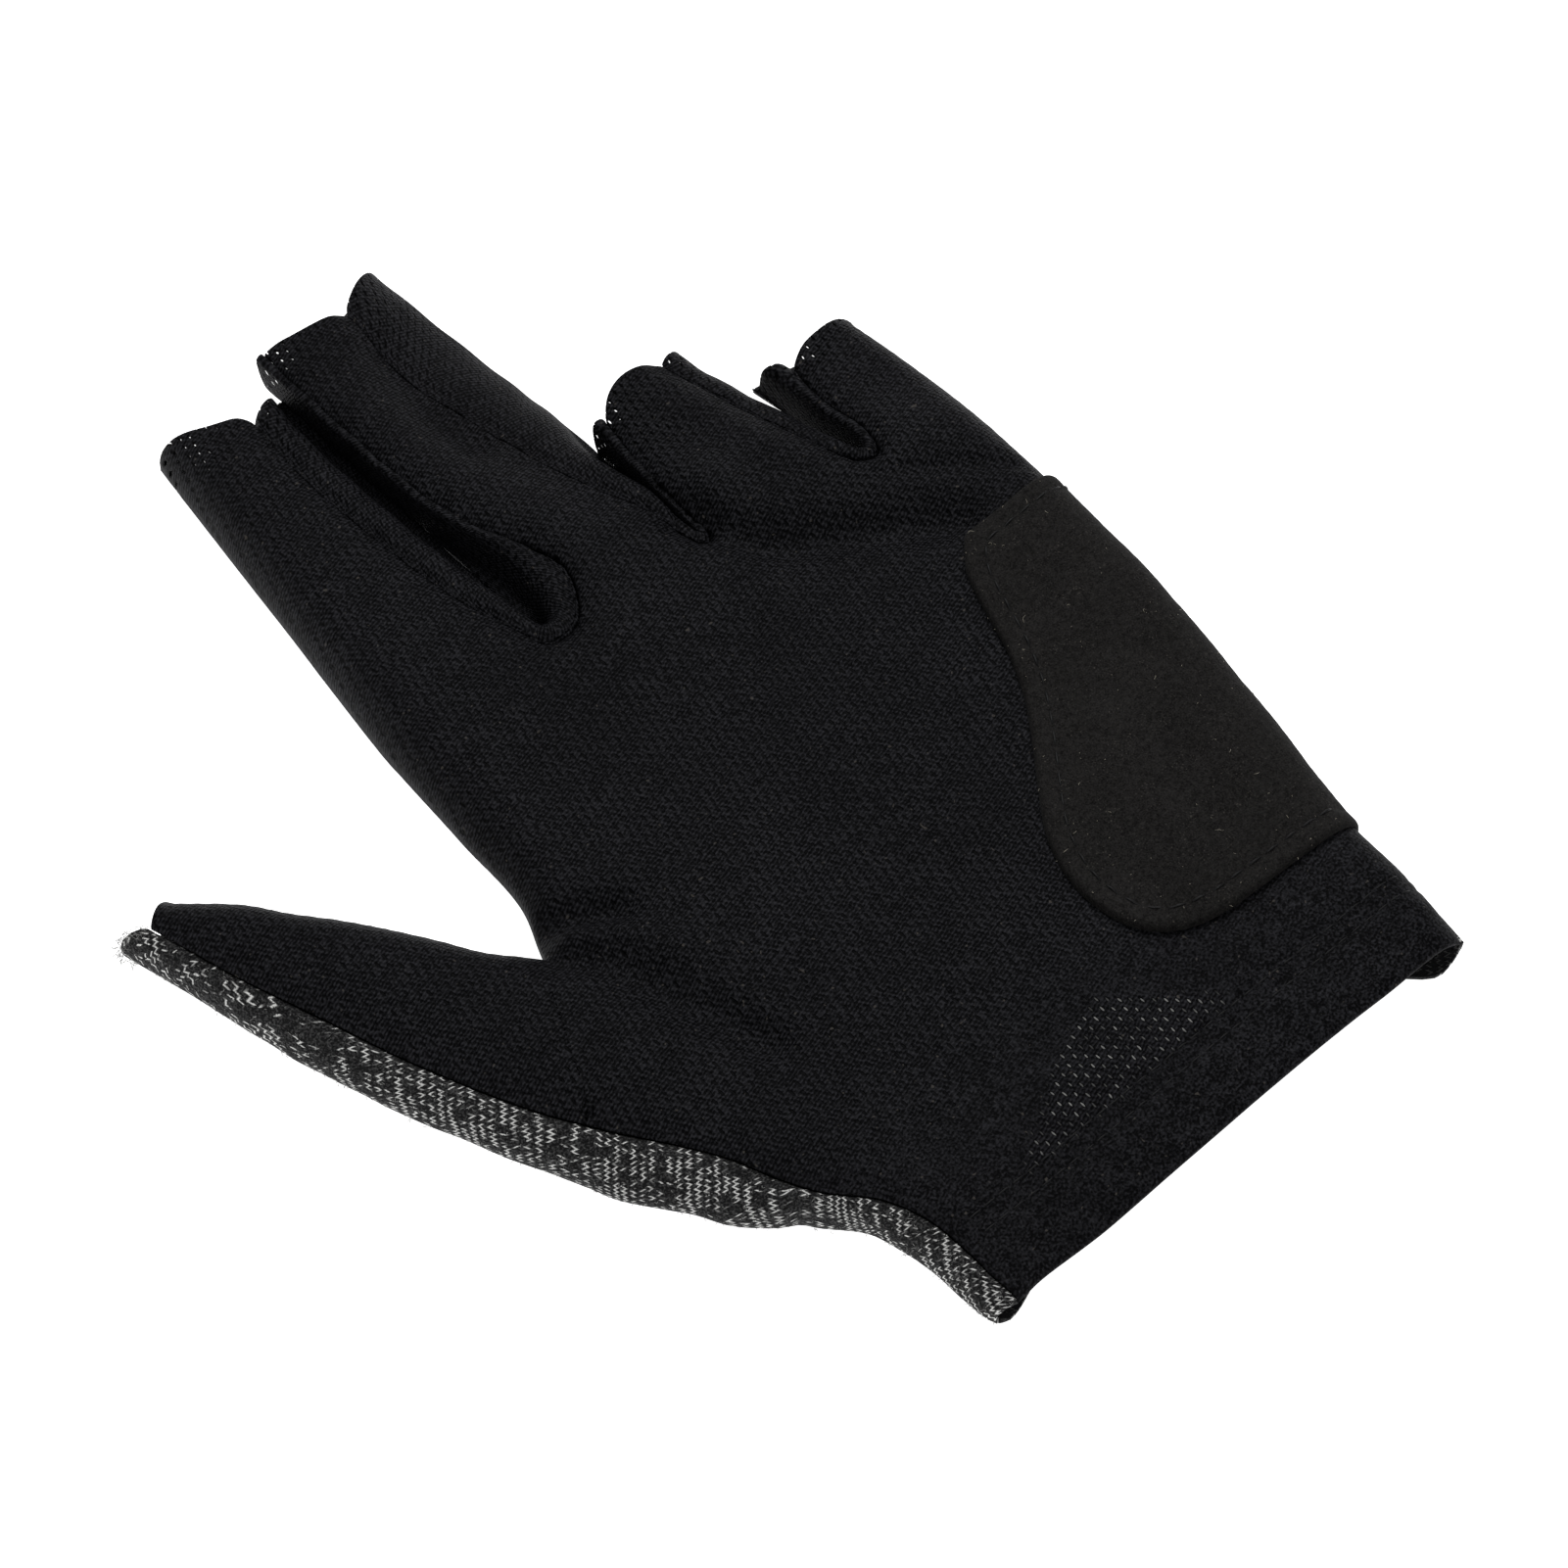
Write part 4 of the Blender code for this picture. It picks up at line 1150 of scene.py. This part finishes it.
class GLOVE_OT_pad(bpy.types.Operator):
    """Lay the suede pad on the heel of the palm"""

    bl_idname = "glove.pad"
    bl_label = "Heel pad"

    def execute(self, context):
        sizes, colours = settings()
        over, under, faces = pad_shape(sizes.wrinkle, sizes.pucker, sizes.pad_wall, sizes.stitch)
        points, walls = shell(over, under, faces)
        pad = new_piece("suede_pad", points, walls, suede_finish("suede nap", colours))
        pad.data.set_sharp_from_angle(angle=1.0)
        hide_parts("heel_pad")
        return {"FINISHED"}


class GLOVE_OT_stitching(bpy.types.Operator):
    """Sew the pad's edge and the double row along the cuff hem"""

    bl_idname = "glove.stitching"
    bl_label = "Stitching"

    def execute(self, context):
        sizes, colours = settings()
        palm, top = palm_shape(sizes.wrinkle, sizes.pucker)
        over, _under, faces = pad_shape(sizes.wrinkle, sizes.pucker, sizes.pad_wall, sizes.stitch)
        inner, ends = pad_rim(240)
        right = plan(smooth(ends / LENGTH, *np.array(ULNAR_EDGE).T), ends / LENGTH)
        above = lerp(right[0], inner[0], np.linspace(0, 1, 40)[:-1, None])
        below = lerp(inner[-1], right[-1], np.linspace(0, 1, 50)[1:, None])
        edge = np.concatenate([above, inner, below])
        path = edge + outward(edge) * STITCH_INSET
        keep = beside(path, edge)[0] > 0.96 * STITCH_INSET
        path = path[keep & (path[:, 0] < 0.390 * BREADTH + (path[:, 1] > 0.04) * 0.02)]
        normals = vertex_normals(over, faces)
        near = np.linalg.norm(path[:, None] - over[None, :, :2], axis=-1).argmin(axis=1)
        line = np.column_stack([path, over[near, 2]])
        half = sizes.thread / 2
        parts = [stitches(line, normals[near], sizes.stitch, 0.78 * sizes.stitch, half)]
        cloth_normals = vertex_normals(top, palm.faces)
        for row in HEM_ROWS:
            cuff = palm.at[palm.palm[:, 40], 1] - palm.at[palm.palm[0, 40], 1]
            number = int(np.abs(cuff - row).argmin())
            nodes = palm.palm[number, 6:-4]
            parts.append(stitches(top[nodes], cloth_normals[nodes], 0.0023, 0.0019, half * 0.62))
        points, faces = gathered(parts)
        finish = thread_finish("black thread", colours.thread, 0.6)
        new_piece("seam_stitches", points, faces, finish)
        return {"FINISHED"}


class GLOVE_OT_fibres(bpy.types.Operator):
    """Scatter the light fibres caught on the pad and fray the jersey's cut ends"""

    bl_idname = "glove.fibres"
    bl_label = "Fibres"

    def execute(self, context):
        sizes, _colours = settings()
        over, _under, faces = pad_shape(sizes.wrinkle, sizes.pucker, sizes.pad_wall, sizes.stitch)
        normals = vertex_normals(over, faces)
        rng = np.random.default_rng(40)
        count = sizes.fibres
        start = rng.integers(0, len(over), count)
        length = 0.16 * MM + 1.1 * MM * rng.random(count) ** 5
        caught = over[start] + normals[start] * 0.06 * MM
        points, faces = tubes(*curled(caught, length, rng, 0.9), (0, 0, 1), 4)
        finish = thread_finish("pale lint", (0.36, 0.33, 0.27), 0.8)
        new_piece("pad_lint", points, faces, finish)
        _back, low, _faces, _grain, grid = back_shape(sizes.wrinkle, sizes.pucker)
        roll = low[grid[1:-1, 2:-1].ravel()]
        pick = rng.integers(0, len(roll), ROLL_FIBRES)
        bottom = roll[pick]
        length = 0.25 * MM + 0.45 * MM * rng.random(len(pick)) ** 2
        points, faces = tubes(*curled(bottom, length, rng, 1.0), (0, 0, 1), 4)
        ends = low[grid[1:-1, -1]]
        frayed = np.repeat(ends, FRAYED_EACH, axis=0)
        frayed = frayed + rng.normal(0, 0.15 * MM, frayed.shape)
        length = 0.5 * MM + 1.1 * MM * rng.random(len(frayed))
        more = tubes(*curled(frayed, length, rng, 0.6), (0, 0, 1), 4)
        points, faces = gathered([(points, faces), more])
        finish = thread_finish("grey fuzz", (0.30, 0.30, 0.29), 0.85)
        new_piece("jersey_fuzz", points, faces, finish)
        return {"FINISHED"}


def curled(start, length, rng, bend):
    """Lines of five points from each start, and their radii: random flat directions that turn evenly."""
    count = len(start)
    turn = rng.uniform(0, 2 * np.pi, count)[:, None]
    turn = turn + bend * rng.normal(0, 1, (count, 1)) * np.linspace(-1, 1, 5)
    step = np.stack([np.cos(turn), np.sin(turn), rng.normal(0, 0.25, turn.shape)], axis=-1)
    lines = start[:, None] + np.cumsum(step * (length / 4)[:, None, None], axis=1)
    lines[..., 2] = np.maximum(lines[..., 2], 0.06 * MM)
    radii = np.broadcast_to(0.032 * MM * np.array([0.7, 1, 1, 0.9, 0.4]), turn.shape)
    return lines, radii


class GLOVE_OT_stage(bpy.types.Operator):
    """Set out the white sweep, the soft lights and the camera"""

    bl_idname = "glove.stage"
    bl_label = "Stage"

    def execute(self, context):
        _sizes, colours = settings()
        mesh = bpy.data.meshes.new("floor")
        corners = ((-1, -1), (1, -1), (1, 1), (-1, 1))
        places = [(x * FLOOR_HALF, y * FLOOR_HALF, -FLOOR_BELOW) for x, y in corners]
        mesh.from_pydata(places, [], [(0, 1, 2, 3)])
        mesh.materials.append(sweep_finish("white sweep", colours.sweep))
        floor = bpy.data.objects.new("floor", mesh)
        context.scene.collection.objects.link(floor)
        world = bpy.data.worlds.new("studio")
        context.scene.world = world
        world.use_nodes = True
        sky = world.node_tree.nodes["Background"].inputs
        sky["Color"].default_value = (1.0, 1.0, 1.0, 1.0)
        sky["Strength"].default_value = WORLD_LIGHT
        for name, place, power, size in LIGHTS:
            light = bpy.data.lights.new(name, "AREA")
            light.energy, light.size = power, size
            lamp = bpy.data.objects.new(name, light)
            lamp.location = place
            aim = Vector(LIGHT_AIM) - Vector(place)
            lamp.rotation_euler = aim.to_track_quat("-Z", "Y").to_euler()
            context.scene.collection.objects.link(lamp)
        context.scene.view_settings.view_transform = "Standard"
        eye = bpy.data.cameras.new("camera")
        eye.sensor_width, eye.sensor_fit = SENSOR, "AUTO"
        eye.lens = SENSOR * (VIEW_DISTANCE / VIEW_PIXEL) / FRAME_PIXELS
        eye.clip_start, eye.clip_end = 0.01, 10
        camera = bpy.data.objects.new("camera", eye)
        turn, tip = np.radians(VIEW_TURN), np.radians(VIEW_TIP)
        ahead = Vector((np.cos(tip) * np.sin(turn), np.cos(tip) * np.cos(turn), -np.sin(tip)))
        camera.matrix_world = Matrix.Translation(Vector(VIEW_TARGET) - VIEW_DISTANCE * ahead) @ (
            ahead.to_track_quat("-Z", "Y").to_matrix().to_4x4()
        )
        context.scene.collection.objects.link(camera)
        context.scene.camera = camera
        return {"FINISHED"}


class VIEW3D_PT_glove(bpy.types.Panel):
    """Sizes, colours and pieces of the glove"""

    bl_label = "Billiard glove"
    bl_space_type = "VIEW_3D"
    bl_region_type = "UI"
    bl_category = "Glove"

    def draw(self, context):
        for group in (context.scene.glove_sizes, context.scene.glove_colours):
            for name in group.__annotations__:
                self.layout.prop(group, name)
        for maker in MAKERS:
            self.layout.operator(maker.bl_idname)


MAKERS = (
    GLOVE_OT_stage, GLOVE_OT_palm, GLOVE_OT_back, GLOVE_OT_side_strips, GLOVE_OT_pad, GLOVE_OT_stitching,
    GLOVE_OT_fibres,
)
CLASSES = (GloveSizes, GloveColours, *MAKERS, VIEW3D_PT_glove)


def register():
    for made in CLASSES:
        bpy.utils.register_class(made)
    bpy.types.Scene.glove_sizes = PointerProperty(type=GloveSizes)
    bpy.types.Scene.glove_colours = PointerProperty(type=GloveColours)


def unregister():
    del bpy.types.Scene.glove_colours
    del bpy.types.Scene.glove_sizes
    for made in reversed(CLASSES):
        bpy.utils.unregister_class(made)


def main():
    register()
    bpy.ops.glove.stage()
    bpy.ops.glove.palm()
    bpy.ops.glove.back()
    bpy.ops.glove.side_strips()
    bpy.ops.glove.pad()
    bpy.ops.glove.stitching()
    bpy.ops.glove.fibres()


if __name__ == "__main__":
    main()
